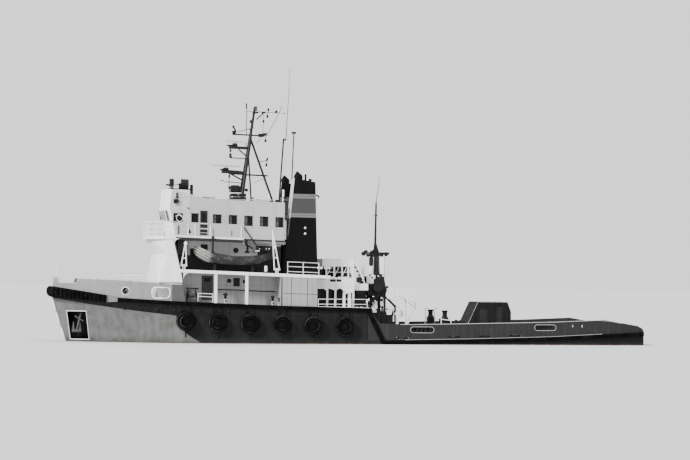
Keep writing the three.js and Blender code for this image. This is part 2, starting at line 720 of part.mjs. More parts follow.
function boatDeck() {
  const [fore, aft] = BOAT_DECK_ENDS;
  const slab = box([fore, aft], [-2885, 2885], [BOAT_DECK - DECK_THICK, BOAT_DECK]);
  const notch = tower().add(tower().translate([GAP, 0, 0]));
  const pillars = PILLARS.flatMap((x) =>
    [-1, 1].map((side) =>
      box(
        [x - 55, x + 55], side < 0 ? [-2860, -2750] : [2750, 2860],
        [FORECASTLE - 150, BOAT_DECK - DECK_THICK + 5],
      )));
  const chocks = [-5500, -4000].flatMap((x) =>
    [-1, 1].map((side) =>
      box([x - 45, x + 45], [side * BOAT.y - 110, side * BOAT.y + 110], [BOAT_DECK - 5, BOAT.keel - 10])));
  const rails = [-1, 1].map((side) =>
    railing([[-2640, side * 2855], [-1390, side * 2855]], BOAT_DECK, [110, 308, 490]));
  const feet = [-1, 1].flatMap((side) => DAVIT_FEET.flatMap((foot) => [-1, 1].map((end) => {
    const at = foot + end * DAVIT_LUG.at;
    const lug = box(
      [at - DAVIT_LUG.half, at + DAVIT_LUG.half], [side * DAVIT_PIN.y - 62, side * DAVIT_PIN.y + 62],
      [BOAT_DECK - 5, DAVIT_PIN.z + 62],
    );
    return lug.subtract(
      bar(
        [foot - 300, side * DAVIT_PIN.y, DAVIT_PIN.z], [foot + 300, side * DAVIT_PIN.y, DAVIT_PIN.z], 34,
        10,
      ),
    );
  })));
  return join([slab.subtract(notch), ...pillars, ...chocks, ...rails, ...feet]);
}

node('boat_deck', onDeck(sloped(boatDeck())), 'white');

function upperHouse() {
  const [x0, x1] = [-6900, -2780];
  const w = WALL;
  const h = UPPER_HALF;
  const walls = plan(
    [[x0, -h], [x1, -h], [x1, h], [x0, h]], [BOAT_DECK + GAP, BRIDGE_DECK - DECK_THICK - GAP],
    [[[x0 + w, -h + w], [x1 - w, -h + w], [x1 - w, h - w], [x0 + w, h - w]]],
  );
  return walls.subtract(box([x1 - 100, x1 + 100], [-250, 250], [BOAT_DECK + 100, BOAT_DECK + 1050]));
}

const towerGap = sloped(tower().add(tower().translate([GAP, 0, 0])));
const craneShelf = join([
  box([-3900, -3710], [-2465, -UPPER_HALF + 20], [3640, 3700]),
  box([-3830, -3780], [-2100, -UPPER_HALF + 20], [3560, 3650]),
]);
node('deckhouse_upper', sloped(upperHouse()).subtract(towerGap).add(craneShelf), 'house');

const WING = { top: 560, thick: 30, half: 2870 };

function bridgeDeck() {
  const edge = [
    [-7560, -2870], [-4400, -2870], [-4400, -2300], [-2655, -2300], [-2655, -1450], [-2080, -1450],
  ];
  const front = [[-8060, 1300], [-8060, -1300]];
  const outline = [...edge, ...edge.map(([x, y]) => [x, -y]).reverse(), ...front];
  const slab = plan(outline, [BRIDGE_DECK - DECK_THICK, BRIDGE_DECK]);
  const rails = [-1, 1].flatMap((side) => {
    const y = side < 0 ? [-WING.half, -WING.half + WING.thick] : [WING.half - WING.thick, WING.half];
    const wing = (x) => box(x, y, [BRIDGE_DECK - 5, BRIDGE_DECK + WING.top]);
    const line = side * (WING.half - 15);
    return [
      wing([-7060, -6170]), wing([-5640, -4400]),
      railing([[-6180, line], [-5630, line]], BRIDGE_DECK, [200, 380, 560]),
    ];
  });
  const round = [[-7080, -2840], [-7560, -2840], [-8020, -1290], [-8020, 1290], [-7560, 2840], [-7080, 2840]];
  const basket = railing(round, BRIDGE_DECK, [175, 380, 590], 800, 30);
  return join([slab, ...rails, basket]);
}

node('bridge_deck', sloped(bridgeDeck()), 'white');

// Wheelhouse

const WHEELHOUSE_AFT = -2700;
// front edge of the side, by height
const CORNER = [
  [BRIDGE_DECK, -7045], [4525, -7150], [4972, -7240], [5247, -7304], [6004, -7216], [6300, -7185],
];
// the front's reach ahead of its corners
const BOW_OUT = [[BRIDGE_DECK, 90], [4972, 120], [5335, 135], [6300, 130]];
const PARAPET = [
  [-7500, 6100], [-7216, 6004], [-6463, 5823], [-6181, 5749], [-5932, 5706], [-5578, 5668], [-2400, 5668],
];

function wheelhouseForm(inset) {
  const levels = [BRIDGE_DECK + GAP, 4525, 4972, 5247, 6004, 6290];
  const rings = levels.map((z) => {
    const corner = along(CORNER, z) + inset;
    const front = along(CORNER, z) - along(BOW_OUT, z) + inset;
    const half = 2300 - inset;
    return [
      [front, -900, z], [front, 900, z], [corner, 2050 - inset, z], [-6463, half, z],
      [WHEELHOUSE_AFT - inset, half, z],
      [WHEELHOUSE_AFT - inset, -half, z], [-6463, -half, z], [corner, -2050 + inset, z],
    ];
  });
  return loft(rings);
}

const belowParapet = profile(
  [[-8000, 3000], [-2000, 3000], [-2000, PARAPET[6][1]], ...[...PARAPET].reverse(), [-8000, PARAPET[0][1]]],
  WIDE,
);
const WINDOW_Z = [4690, 5060];
const SIDE_WINDOWS = [
  [-7120, -6740], [-6411, -6154], [-5555, -5245], [-4930, -4620], [-4305, -3995], [-3680, -3370],
  [-3060, -2765],
];
const BRIDGE_DOOR = { x: [-6074, -5777], z: [4231, 5200] };
const FRONT_WINDOWS = [-1850, -1150, -450, 250, 950].map((y) => [y + 60, y + 560 + 80]);

function wheelhouseShell() {
  const core = wheelhouseForm(WALL);
  const hollow = core.add(core.translate([0, 0, -60])).add(core.translate([0, 0, 60]));
  let shell = wheelhouseForm(0).subtract(hollow).intersect(belowParapet);
  for (const [x0, x1] of SIDE_WINDOWS) shell = shell.subtract(box([x0, x1], WIDE, WINDOW_Z));
  for (const [y0, y1] of FRONT_WINDOWS) shell = shell.subtract(box([-7800, -7080], [y0, y1], [4720, 5170]));
  for (const y of [-1500, -500, 500, 1500]) shell = shell.subtract(
    box([-3000, -2600], [y - 300, y + 300], [4720, 5120]),
  );
  return shell.subtract(box(BRIDGE_DOOR.x, WIDE, BRIDGE_DOOR.z));
}

const shell = wheelhouseShell();
const cornerLine = (offset) => CORNER.map(([z, x]) => [x + offset, z]);
const frontZone = (offset) => profile(
  [[-8200, 3900], ...[[CORNER[0][1] + offset, 3900], ...cornerLine(offset)], [-8200, 6300]], WIDE,
);
const sideZone = (half) => box([-8000, WHEELHOUSE_AFT - WALL - GAP], half, [3900, 6400]);
const frontReach = 45;

node('wheelhouse_front', sloped(shell.intersect(frontZone(frontReach))), 'white');
for (const [name, side] of Object.entries(SIDE)) {
  const half = side < 0 ? [-3000, -500] : [500, 3000];
  node(
    `wheelhouse_side_${name}`,
    sloped(shell.subtract(frontZone(frontReach + GAP)).intersect(sideZone(half))), 'house',
  );
}

const insideForm = (inset) => wheelhouseForm(inset).add(wheelhouseForm(inset).translate([0, 0, -60]));
const roofLevels = [WHEELHOUSE_ROOF - 50, WHEELHOUSE_ROOF];
const roof = wheelhouseForm(WALL + GAP).intersect(box([-8000, -2000], WIDE, roofLevels));
const aftWall = shell.intersect(box([WHEELHOUSE_AFT - WALL, -2000], WIDE, [3900, 6400]));
// joins the roof to the aft wall
const roofEdge = box([WHEELHOUSE_AFT - WALL - 5, WHEELHOUSE_AFT - WALL + 5], [-2250, 2250], roofLevels);
node('wheelhouse_roof', sloped(join([roof, roofEdge, aftWall])), 'white');

const GLASS = 12;
const paneZone = box([-8000, WHEELHOUSE_AFT - WALL - GLASS - 2 * GAP], WIDE, [4670, 5190]);
const paneBand = insideForm(WALL + GAP).subtract(insideForm(WALL + GAP + GLASS)).intersect(paneZone);
node('glass_front', sloped(paneBand.intersect(box([-8000, -6110], WIDE, [4000, 6000]))), 'glass');
for (const [name, side] of Object.entries(SIDE)) {
  const half = side < 0 ? [-3000, -2100] : [2100, 3000];
  node(`glass_${name}`, sloped(paneBand.intersect(box([-5740, -2752], half, [4000, 6000]))), 'glass');
}

function doorLeaf(d, side, wallHalf) {
  const [outer, inner] = [side * (wallHalf - 2), side * (wallHalf - WALL + 2)];
  const bevel = 30; // lets the leaf turn about its outer edge
  const outline = [
    [d.x[0] + 6, outer], [d.x[1] - 6, outer], [d.x[1] - 6 - bevel, inner], [d.x[0] + 6 + bevel, inner],
  ];
  return plan(side < 0 ? outline : outline.reverse(), [d.z[0] + 6, d.z[1] - 6]);
}

for (const [name, side] of Object.entries(SIDE)) {
  node(`bridge_door_${name}`, sloped(doorLeaf(BRIDGE_DOOR, side, 2300)), 'dark');
  node(`deck_door_${name}`, sloped(doorLeaf(DECK_DOOR, side, HOUSE_HALF)), 'dark');
}

// Funnels

// The large exhaust of each funnel, with its top cut to a ridge
const EXHAUST = {
  x: -2120, radius: 178, low: 6400, high: 7000,
  mitre: [[-2350, 6300], [-1900, 6300], [-1900, 6741], [-2176, 6953], [-2350, 6675]],
};

function funnel(side) {
  const section = (z, fore, aft, outer, inner) => [
    [fore, side * inner, z], [aft, side * inner, z], [aft, side * outer, z], [fore, side * outer, z],
  ];
  const rings = [section(BOAT_DECK + GAP, -2733, -1368, 2400, 1500), section(6560, -2340, -1480, 2330, 1560)];
  let shape = loft(rings);
  const top = profile([[-2400, 6668], [-1400, 6530], [-1400, 6900], [-2400, 6900]], WIDE);
  const crown = loft([section(6550, -2340, -1480, 2330, 1560), section(6700, -2325, -1485, 2325, 1565)]);
  shape = shape.add(crown).subtract(top);
  const y = side * 1945;
  const e = EXHAUST;
  const pipes = [
    bar([e.x, y, e.low], [e.x, y, e.high], e.radius, 16).intersect(profile(e.mitre, WIDE)),
    bar([-1811, y + 120, e.low], [-1811, y + 120, 6864], 40, 10),
    bar([-1730, y - 100, e.low], [-1635, y - 100, 6670], 62, 10),
  ];
  return join([shape, ...pipes]);
}

for (const [name, side] of Object.entries(SIDE)) node(`funnel_${name}`, sloped(funnel(side)), 'funnel');

// Masts

const MAST = { foot: [-4190, 5900], head: [-3672, 9480], spread: 430 };
const MAST_LEAN = (MAST.head[0] - MAST.foot[0]) / (MAST.head[1] - MAST.foot[1]);
const mastX = (z) => MAST.foot[0] + (z - MAST.foot[1]) * MAST_LEAN;

function platform([x0, x1], z, half, thick = 25) {
  return box([x0, x1], [-half, half], [z - thick, z + thick]);
}

function mast() {
  const roofTop = WHEELHOUSE_ROOF + GAP;
  const legs = [-1, 1].map((side) =>
    bar([mastX(roofTop), side * MAST.spread, roofTop], [mastX(8480), side * 45, 8480], 62, 8));
  const pole = bar([mastX(7700), 0, 7700], [MAST.head[0], 0, MAST.head[1]], 62, 8, 48);
  const aftLeg = bar([-2795, -330, roofTop], [mastX(8330), 0, 8330], 44, 6);
  const strut = bar([-3747, 0, roofTop], [mastX(7800), 0, 7800], 34, 6);
  const base = join([
    box([-4640, -4060], [-330, 330], [roofTop, 6000]), box([-4560, -4140], [-60, 60], [5990, 6080]),
    box([-4640, -4220], [-330, 330], [6070, 6320]),
  ]);
  const radarUpper = platform([-4700, mastX(7890)], 7890, 170, 50);
  const radarLower = platform([-4990, mastX(6880)], 6880, 190, 48).add(
    platform([-4700, mastX(6810)], 6820, 90),
  );
  const pedestals = [
    box([-4560, -4360], [-90, 90], [7900, 8060]), box([-4930, -4710], [-100, 100], [6890, 7050]),
  ];
  const yard = box([-4560, -3250], [-28, 28], [8400, 8456]);
  const topYard = box([-3992, -2760], [-10, 10], [9385, 9405]);
  const crossUpper = box([mastX(8700) - 22, mastX(8700) + 22], [-620, 620], [8680, 8724]);
  const crossLower = box([mastX(7200) - 30, mastX(7200) + 30], [-420, 420], [7170, 7230]);
  const lowArm = box([-4150, -3120], [-30, 30], [6780, 6840]);
  const bracket = box([-4670, mastX(7455) + 20], [-240, -200], [7435, 7475]).add(
    box([mastX(7455) - 20, mastX(7455) + 20], [-240, 240], [7435, 7475]),
  );
  const aerial = bar([-3990, 0, 8430], [-3990, 0, 9650], 16, 6);
  const lamp = (x, z, y = 0) => bar([x, y, z], [x, y, z + 110], 48, 8);
  const lamps = [
    lamp(-4530, 8430), lamp(-3270, 8430), lamp(MAST.head[0], 9460), lamp(-4650, 7445, -220),
    lamp(-2780, 9380),
  ];
  return join([
    ...legs, pole, aftLeg, strut, base, radarUpper, radarLower, ...pedestals, yard, topYard, crossUpper,
    crossLower, lowArm, bracket, aerial, ...lamps,
  ]);
}

const SCANNERS = [
  { name: 'upper', x: -4460, z: 8060, length: 740 }, { name: 'lower', x: -4830, z: 7050, length: 1220 },
];

const belowRoof = box([-9000, 0], [-3000, 3000], [WHEELHOUSE_ROOF - 900, WHEELHOUSE_ROOF + GAP]);
node('mast', sloped(mast().subtract(belowRoof)), 'dark');
for (const s of SCANNERS) {
  const shape = join([
    box([s.x - s.length / 2, s.x + s.length / 2], [-35, 35], [s.z + 60, s.z + 110]),
    bar([s.x, 0, s.z + 6], [s.x, 0, s.z + 70], 50, 12),
  ]);
  node(`radar_scanner_${s.name}`, sloped(shape), 'house');
}

function aftMast() {
  const x = 1400;
  const top = 3640;
  const foot = WINCH.top + 8;
  const legs = [-1, 1].flatMap((side) =>
    [
      bar([x - 140, side * 560, foot], [x - 110, side * 480, top], 60, 8),
      bar([x + 95, side * 560, foot], [x + 150, side * 480, top], 70, 8),
    ]);
  const head = box([x - 350, x + 450], [-560, 560], [top - 40, top + 50]);
  const cone = bar([x, 0, top + 40], [x - 40, 0, top + 420], 130, 8, 50);
  const pole = bar([x - 40, 0, top + 400], [x - 20, 0, 5713], 48, 8, 34);
  const tip = bar([x - 20, 0, 5700], [x + 120, 0, 6760], 18, 6, 8);
  const cross = box([x - 60, x], [-300, 300], [5180, 5220]);
  return join([...legs, head, cone, pole, tip, cross]);
}

node('aft_mast', aftMast(), 'dark');

// A tall whip over the wheelhouse's aft wall, held by a strut off the disc aerial's pole between the funnels

const AERIAL = { whip: -900, pole: 100, foot: BRIDGE_DECK + GAP, strut: 5740, joint: 8254 };

function aerials() {
  const a = AERIAL;
  const strut = beam([-2790, a.whip, a.strut], [-2130, a.pole, a.strut], 40);
  const low = bar([-2752, a.whip, a.strut - 18], [-2590, a.whip, a.joint], 32, 8);
  const clamp = box([-2620, -2475], [a.whip - 24, a.whip + 24], [a.joint - 24, a.joint + 36]);
  const high = bar([-2492, a.whip, a.joint - 10], [-2345, a.whip, 11160], 16, 5, 6);
  const pole = bar([-2190, a.pole, a.foot + 2], [-2032, a.pole, 8600], 30, 8, 22);
  const disc = bar([-2032, a.pole, 8585], [-2032, a.pole, 8655], 100, 12);
  const base = box([-2240, -2140], [a.pole - 50, a.pole + 50], [a.foot, a.foot + 24]);
  return join([strut, low, clamp, high, pole, disc, base]);
}

node('aerials', sloped(aerials()), 'dark');

// Boats and davits

const BOAT_ROWS = [
  // share of the length from the bow, half-breadth share, keel rise, gunwale rise
  [0, 0.04, 420, 400], [0.05, 0.3, 230, 330], [0.14, 0.62, 90, 230], [0.28, 0.88, 25, 110], [0.5, 1, 0, 20],
  [0.72, 0.88, 25, 40], [0.86, 0.62, 90, 100], [0.95, 0.3, 220, 150], [1, 0.04, 300, 170],
];

function boatForm(inset, lift) {
  const rings = BOAT_ROWS.map(([share, breadth, keel, gunwale]) => {
    const x = BOAT.fore + inset * 1.6 + share * (BOAT.aft - BOAT.fore - inset * 3.2);
    const half = Math.max(BOAT.half * breadth - inset, 4);
    const z0 = BOAT.keel + keel + inset;
    const z1 = BOAT.gunwale + gunwale + lift;
    const points = [
      [0, z0], [half * 0.55, z0 + (z1 - z0) * 0.16], [half * 0.92, z0 + (z1 - z0) * 0.5], [half, z1],
    ];
    return [...points.map(([y, z]) => [x, y, z]), ...points.slice(1).reverse().map(([y, z]) => [x, -y, z])];
  });
  return loft(rings);
}

function lifeboat(side) {
  const hullShape = boatForm(0, 0).subtract(boatForm(26, 60));
  const thwarts = [-5600, -4950, -4300, -3700].map((x) =>
    box([x - 70, x + 70], [-450, 450], [BOAT.gunwale - 90, BOAT.gunwale - 60]));
  const inside = boatForm(10, 60);
  const seats = join(thwarts).intersect(inside);
  return hullShape.add(seats).translate([0, side * BOAT.y, 0]);
}

const DAVITS = [
  { name: 'fore', foot: DAVIT_FEET[0], head: -6680, top: 3965 },
  { name: 'aft', foot: DAVIT_FEET[1], head: -3250, top: 4560 },
];
const DAVIT = { y: DAVIT_PIN.y, pin: DAVIT_PIN.z, arm: 3870, spread: 105, tie: 0.3 };

function davit(d, side) {
  const { pin: foot, arm: armZ, spread } = DAVIT;
  const y = side * DAVIT.y;
  const leg = (dx) => bar([d.foot + dx, y, foot], [d.head, y, d.top], 26, 6);
  const pin = bar([d.foot - spread - 25, y, foot], [d.foot + spread + 25, y, foot], 26, 8);
  const middle = (z) => d.foot + ((d.head - d.foot) * (z - foot)) / (d.top - foot);
  const tieZ = foot + (d.top - foot) * DAVIT.tie;
  const reach = spread * (1 - DAVIT.tie);
  const tie = box([middle(tieZ) - reach, middle(tieZ) + reach], [y - 16, y + 16], [tieZ - 18, tieZ + 18]);
  const arm = beam([middle(armZ), y, armZ], [middle(armZ), side * (BOAT.y + 20), armZ], 40);
  const collar = box([middle(armZ) - 60, middle(armZ) + 60], [y - 26, y + 26], [armZ - 60, armZ + 50]);
  return join([leg(-spread), leg(spread), pin, arm, tie, collar]);
}

for (const [name, side] of Object.entries(SIDE)) {
  node(`lifeboat_${name}`, sloped(lifeboat(side)), 'boat');
  for (const d of DAVITS) node(`davit_${d.name}_${name}`, sloped(davit(d, side)), 'white');
}

// Boat-handling crane on the port side of the upper deckhouse

const CRANE = { x: -3805, y: -2385, shelf: 3700, pivot: 3835, tip: [-4391, 4673] };

function craneColumn() {
  const c = CRANE;
  const cheeks = [-1, 1].map((side) =>
    box([c.x - 40, c.x + 40], [c.y + side * 38 - 10, c.y + side * 38 + 10], [c.shelf + 60, c.pivot + 45]));
  const pin = bar([c.x, c.y - 46, c.pivot], [c.x, c.y + 46, c.pivot], 14, 10);
  return join([bar([c.x, c.y, c.shelf + 6], [c.x, c.y, c.shelf + 75], 52, 14), ...cheeks, pin]);
}

function craneJib() {
  const c = CRANE;
  const eye = bar([c.x, c.y - 21, c.pivot], [c.x, c.y + 21, c.pivot], 38, 14);
  const jib = beam([c.x, c.y, c.pivot], [c.tip[0], c.y, c.tip[1]], 36);
  const head = bar([c.tip[0], c.y - 26, c.tip[1]], [c.tip[0], c.y + 26, c.tip[1]], 34, 12);
  const hook = box([c.tip[0] - 12, c.tip[0] + 12], [c.y - 12, c.y + 12], [c.tip[1] - 150, c.tip[1]]);
  return join([eye, jib, head, hook]).subtract(
    bar([c.x, c.y - 60, c.pivot], [c.x, c.y + 60, c.pivot], 20, 12),
  );
}

node('crane_column', craneColumn(), 'dark');
node('crane_jib', craneJib(), 'dark');

// Fire monitor, searchlight and horn on the wheelhouse top

const MONITOR = { x: -7015, z: 6250, top: 6497, radius: 96 };
const LAMP = { x: [-6640, -6335], z: 6308, radius: 205, yoke: [-6730, -6610] };
const HORN = { x: -6207, top: 6300, radius: 64 };

function lookoutFittings() {
  const foot = WHEELHOUSE_ROOF + GAP;
  const post = (x, y, top, radius) => bar([x, y, foot], [x, y, top], radius, 10);
  const shelf = box([-7160, HORN.x], [-60, 60], [6080, 6120]);
  const searchlight = join([
    box(LAMP.yoke, [-60, 60], [6100, LAMP.z + 27]),
    bar([LAMP.x[0], 0, LAMP.z], [LAMP.x[1], 0, LAMP.z], LAMP.radius, 14),
    bar([MONITOR.x + 125, 0, MONITOR.z + 32], [LAMP.x[0], 0, MONITOR.z + 32], 16, 8),
  ]);
  const horn = post(HORN.x, 0, HORN.top, HORN.radius);
  return join([post(MONITOR.x, 0, MONITOR.z - 90, 70), shelf, searchlight]).add(horn);
}

function fireMonitor() {
  const m = MONITOR;
  const body = bar([m.x, 0, m.z - 76], [m.x, 0, m.top], m.radius, 12);
  const barrel = bar([m.x - 40, 0, m.z - 12], [m.x - 235, 0, m.z + 4], 44, 10, 30);
  return join([body, barrel]);
}

node('lookout_fittings', sloped(lookoutFittings()), 'dark');
node('fire_monitor', sloped(fireMonitor()), 'dark');

// Shelter, platform and rails aft of the funnels, on a deck plate over the end of the forecastle

const AFT = {
  plate: [-1440, 590], skirt: [-1444, 240], half: 1700, deck: 2640, skirtFoot: 2190, roof: [3090, 3400],
};

function aftPlatform() {
  const a = AFT;
  const line = (lift) => [
    [a.plate[0], along(SHEER, a.plate[0]) + lift], [a.plate[1], along(SHEER, a.plate[1]) + lift],
  ];
  const plate = profile([...line(GAP), ...line(14).reverse()], [-2850, 2850]);
  const ring = (x0, x1, half, z, wall) => plan(
    [[x0, -half], [x1, -half], [x1, half], [x0, half]], z,
    [[
      [x0 + wall, -half + wall], [x1 - wall, -half + wall], [x1 - wall, half - wall],
      [x0 + wall, half - wall],
    ]],
  );
  const skirt = ring(...a.skirt, a.half, [a.skirtFoot, 2570], 40);
  const deck = box([-920, a.skirt[1]], [-a.half, a.half], [2560, a.deck]);
  const roof = join([
    box([-1050, a.skirt[1]], [-1500, 1500], [a.roof[1] - 40, a.roof[1]]),
    ring(-1050, a.skirt[1], 1500, [a.roof[0], a.roof[1] - 20], 40),
  ]);
  const gangway = box([a.skirt[1] - 10, 740], [-1500, 1500], [2240, 2390]);
  const parts = [plate, skirt, deck, roof, gangway];
  for (const side of [-1, 1]) {
    for (const x of [-880, -560, -245, 10, 195]) parts.push(
      box([x - 30, x + 30], side < 0 ? [-1495, -1435] : [1435, 1495], [a.deck - 5, a.roof[0] + 5]),
    );
    for (const x of [-867, -536, 190]) parts.push(
      box([x - 38, x + 38], side < 0 ? [-1698, -1622] : [1622, 1698], [1430, a.skirtFoot + 5]),
    );
    for (const [x, top] of [[-278, 2090], [-70, 2130]]) {
      parts.push(
        bar([x, side * 2300, 1440], [x, side * 2300, top], 52, 8),
        bar([x - 20, side * 2300, top], [x + 130, side * 2300, top - 30], 62, 8, 80),
      );
    }
    parts.push(railing([[-1400, side * 2830], [570, side * 2830]], 1455, [140, 340], 660));
    const [top, foot] = [[260, a.roof[1] - 30], [715, 2370]];
    for (const y of [1120, 1460]) parts.push(
      beam([top[0], side * y, top[1]], [foot[0], side * y, foot[1]], 36),
    );
    for (let k = 1; k < 6; k++) {
      const x = top[0] + ((foot[0] - top[0]) * k) / 6;
      const z = top[1] + ((foot[1] - top[1]) * k) / 6;
      parts.push(box([x - 55, x + 35], side < 0 ? [-1460, -1120] : [1120, 1460], [z - 12, z + 8]));
    }
  }
  return onDeck(join(parts));
}

node('aft_platform', aftPlatform(), 'white');

// Gangway from the winch to the working deck

function gangway() {
  const parts = [];
  for (const y of [-1500, -1180]) {
    const lines = [
      [2025, 2242, 3047, 1810], [2040, 1960, 2842, 1640], [2393, 1763, 2842, 1443], [2842, 1443, 2434, 790],
      [2434, 790, 2200, 420],
    ];
    for (const [x0, z0, x1, z1] of lines) parts.push(beam([x0, y, z0], [x1, y, z1], 48));
    const posts = [[2060, 190, 2230], [2842, 1443, 1900], [2434, 300, 1790]];
    for (const [x, z0, z1] of posts) parts.push(beam([x, y, z0], [x, y, z1], 48));
  }
  for (let k = 0; k <= 6; k++) parts.push(
    box([2040 + k * 133, 2120 + k * 133], [-1500, -1180], [1950 - k * 53, 1975 - k * 53]),
  );
  parts.push(box([2010, 2500], [-1540, -1140], [along(MAIN_DECK, 2300) - 40, 245]));
  return onDeck(join(parts));
}

node('gangway', gangway().subtract(planking(PLANK.thick + GAP)), 'white');

// Casing on the working deck, raked in front and stepped in at the top aft

const CASING = { foot: [4820, 6865], top: [5486, 6718], z: 1705, shoulder: 1295, half: 900 };

function deckCasing() {
  const c = CASING;
  const foot = (x) => along(MAIN_DECK, x) + PLANK.thick + GAP;
  return profile(
    [
      [c.foot[0], foot(c.foot[0])],
      ...MAIN_DECK.filter(([x]) => x > c.foot[0] && x < c.foot[1]).map(([x]) => [x, foot(x)]),
      [c.foot[1], foot(c.foot[1])], [c.foot[1], c.shoulder], [c.top[1], c.z], [c.top[0], c.z],
    ],
    [-c.half, c.half],
  );
}

node('deck_casing', deckCasing(), 'dark');

// Windlass on the forecastle

const WINDLASS = { x: -9900, z: 2180, half: 520 };

function windlassFrame() {
  const w = WINDLASS;
  const cheek = (y) => profile(
    [[w.x - 260, 1700], [w.x + 260, 1700], [w.x + 130, w.z + 150], [w.x - 130, w.z + 150]],
    [y - 35, y + 35],
  );
  const bed = box([w.x - 260, w.x + 260], [-w.half - 60, w.half + 60], [1800, along(SHEER, w.x) + 60]);
  return onDeck(
    join([cheek(-w.half), cheek(0), cheek(w.half), bed]).subtract(
      bar([w.x, -1500, w.z], [w.x, 1500, w.z], 47, 12),
    ),
  );
}

function windlassDrum() {
  const w = WINDLASS;
  const reel = (y0, y1, radius) => drumAcross(w.x, [y0, y1], w.z, radius, 12);
  return join([reel(-w.half - 280, w.half + 280, 40), ...[-1, 1].flatMap((side) => {
    const span = (a, b) => (side < 0 ? [-b, -a] : [a, b]);
    return [
      reel(...span(70, w.half - 60), 120), reel(...span(70, 110), 190),
      reel(...span(w.half - 100, w.half - 60), 190), reel(...span(w.half + 60, w.half + 280), 110),
    ];
  })]);
}

node('windlass_frame', windlassFrame(), 'dark');
node('windlass_drum', windlassDrum(), 'steel');

tug.updateMatrixWorld(true);

export default tug;
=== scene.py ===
# %% [markdown]
# A tug that handles anchors, afloat, seen from its port side with the bow to the left. The solids come from
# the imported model, at a 1:2 scale: hull, houses, masts, winches and all that moves. Here they get their
# paint, wood and rubber, and the fittings too fine for the solid model: window frames, portholes,
# stanchions, stays, ropes, chains and lamps. Everything is in metres. X runs aft from amidships, Y to
# starboard and Z up from the water.

import json
import math
import bmesh
import bpy
from mathutils import Matrix, Vector
from mathutils.bvhtree import BVHTree


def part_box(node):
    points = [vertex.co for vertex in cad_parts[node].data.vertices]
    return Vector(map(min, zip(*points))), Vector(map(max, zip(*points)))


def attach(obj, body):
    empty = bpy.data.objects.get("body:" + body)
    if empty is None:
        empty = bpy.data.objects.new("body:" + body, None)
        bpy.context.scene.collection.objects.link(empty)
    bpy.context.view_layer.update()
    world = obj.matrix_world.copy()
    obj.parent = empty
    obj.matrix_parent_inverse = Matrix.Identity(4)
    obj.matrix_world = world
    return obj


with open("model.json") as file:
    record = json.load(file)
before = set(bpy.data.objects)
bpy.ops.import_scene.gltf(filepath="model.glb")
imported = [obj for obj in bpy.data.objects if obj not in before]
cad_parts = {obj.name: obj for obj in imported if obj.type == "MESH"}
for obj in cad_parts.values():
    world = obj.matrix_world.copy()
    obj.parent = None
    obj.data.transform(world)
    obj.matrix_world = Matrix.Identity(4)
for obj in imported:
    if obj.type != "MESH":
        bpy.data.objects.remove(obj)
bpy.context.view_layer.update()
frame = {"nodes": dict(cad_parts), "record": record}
HULL_BODY = "vessel"
SIDES = {"port": -1, "stbd": 1}

# %% [markdown]
# The photograph was taken with a long lens, from a little above the water. A long lens far away keeps the
# decks nearly flat lines, so the camera stands a hundred metres off. It could be aimed by eye, but two
# measures taken in the photograph aim it better: where amidships lies across the frame, and where eye level
# lies in its height.

# %% Camera
DISTANCE = 100.0
EYE_HEIGHT = 2.5
AHEAD_OF_BEAM = math.radians(9.0)
FRAME_WIDTH, FRAME_HEIGHT = 690, 460
FOCAL_PIXELS = 2447.0
MIDSHIPS_PIXEL_X = 342.6
SENSOR_WIDTH = 36.0
FARTHEST = 2000.0
EYE_LEVEL_PIXEL_Y = 281.2
FRAME_ROLL = 0.0087

sight = Vector((math.sin(AHEAD_OF_BEAM), math.cos(AHEAD_OF_BEAM), 0))
across = Vector((sight.y, -sight.x, 0))
aim = sight.copy()
aim += across * (FRAME_WIDTH / 2 - MIDSHIPS_PIXEL_X) / FOCAL_PIXELS
aim.z = (EYE_LEVEL_PIXEL_Y - FRAME_HEIGHT / 2) / FOCAL_PIXELS

camera_data = bpy.data.cameras.new("photo_camera")
camera_data.sensor_width = SENSOR_WIDTH
camera_data.lens = FOCAL_PIXELS / FRAME_WIDTH * SENSOR_WIDTH
camera_data.clip_end = FARTHEST
camera = bpy.data.objects.new("photo_camera", camera_data)
bpy.context.scene.collection.objects.link(camera)
turn = aim.to_track_quat("-Z", "Y").to_matrix().to_4x4() @ Matrix.Rotation(FRAME_ROLL, 4, "Z")
camera.matrix_world = Matrix.Translation(-sight * DISTANCE + Vector((0, 0, EYE_HEIGHT))) @ turn
bpy.context.scene.camera = camera
print("lens", round(camera_data.lens, 1), "mm at", DISTANCE, "m")

# %% [markdown]
# The sun stands ahead of the tug and to port, so that surfaces that face forward are the brightest. Area
# lamps would need one for each side of a ship this long. One broad sun and a pale sky light all of it alike
# and give soft shadows.

# %% Light
SUN_FROM = Vector((-0.78, -0.52, 0.62))
SUN_STRENGTH = 6.2
SUN_SPREAD = math.radians(9)
SKY_COLOUR = (0.86, 0.87, 0.88, 1)
SKY_STRENGTH = 1.6

sun_data = bpy.data.lights.new("sun", "SUN")
sun_data.energy = SUN_STRENGTH
sun_data.angle = SUN_SPREAD
sun = bpy.data.objects.new("sun", sun_data)
sun.rotation_euler = SUN_FROM.to_track_quat("Z", "Y").to_euler()
bpy.context.scene.collection.objects.link(sun)

world = bpy.data.worlds.new("sky")
bpy.context.scene.world = world
world.use_nodes = True
world.node_tree.nodes["Background"].inputs["Color"].default_value = SKY_COLOUR
world.node_tree.nodes["Background"].inputs["Strength"].default_value = SKY_STRENGTH

# %% [markdown]
# The tug is shown afloat. The floor lies at the waterline and hides what would be under water, so it is a
# plain disc, wide enough for its edge to stay out of the picture.

# %% Floor at the waterline
FLOOR_RADIUS = 900.0
FLOOR_GREY = (0.6, 0.6, 0.6, 1)

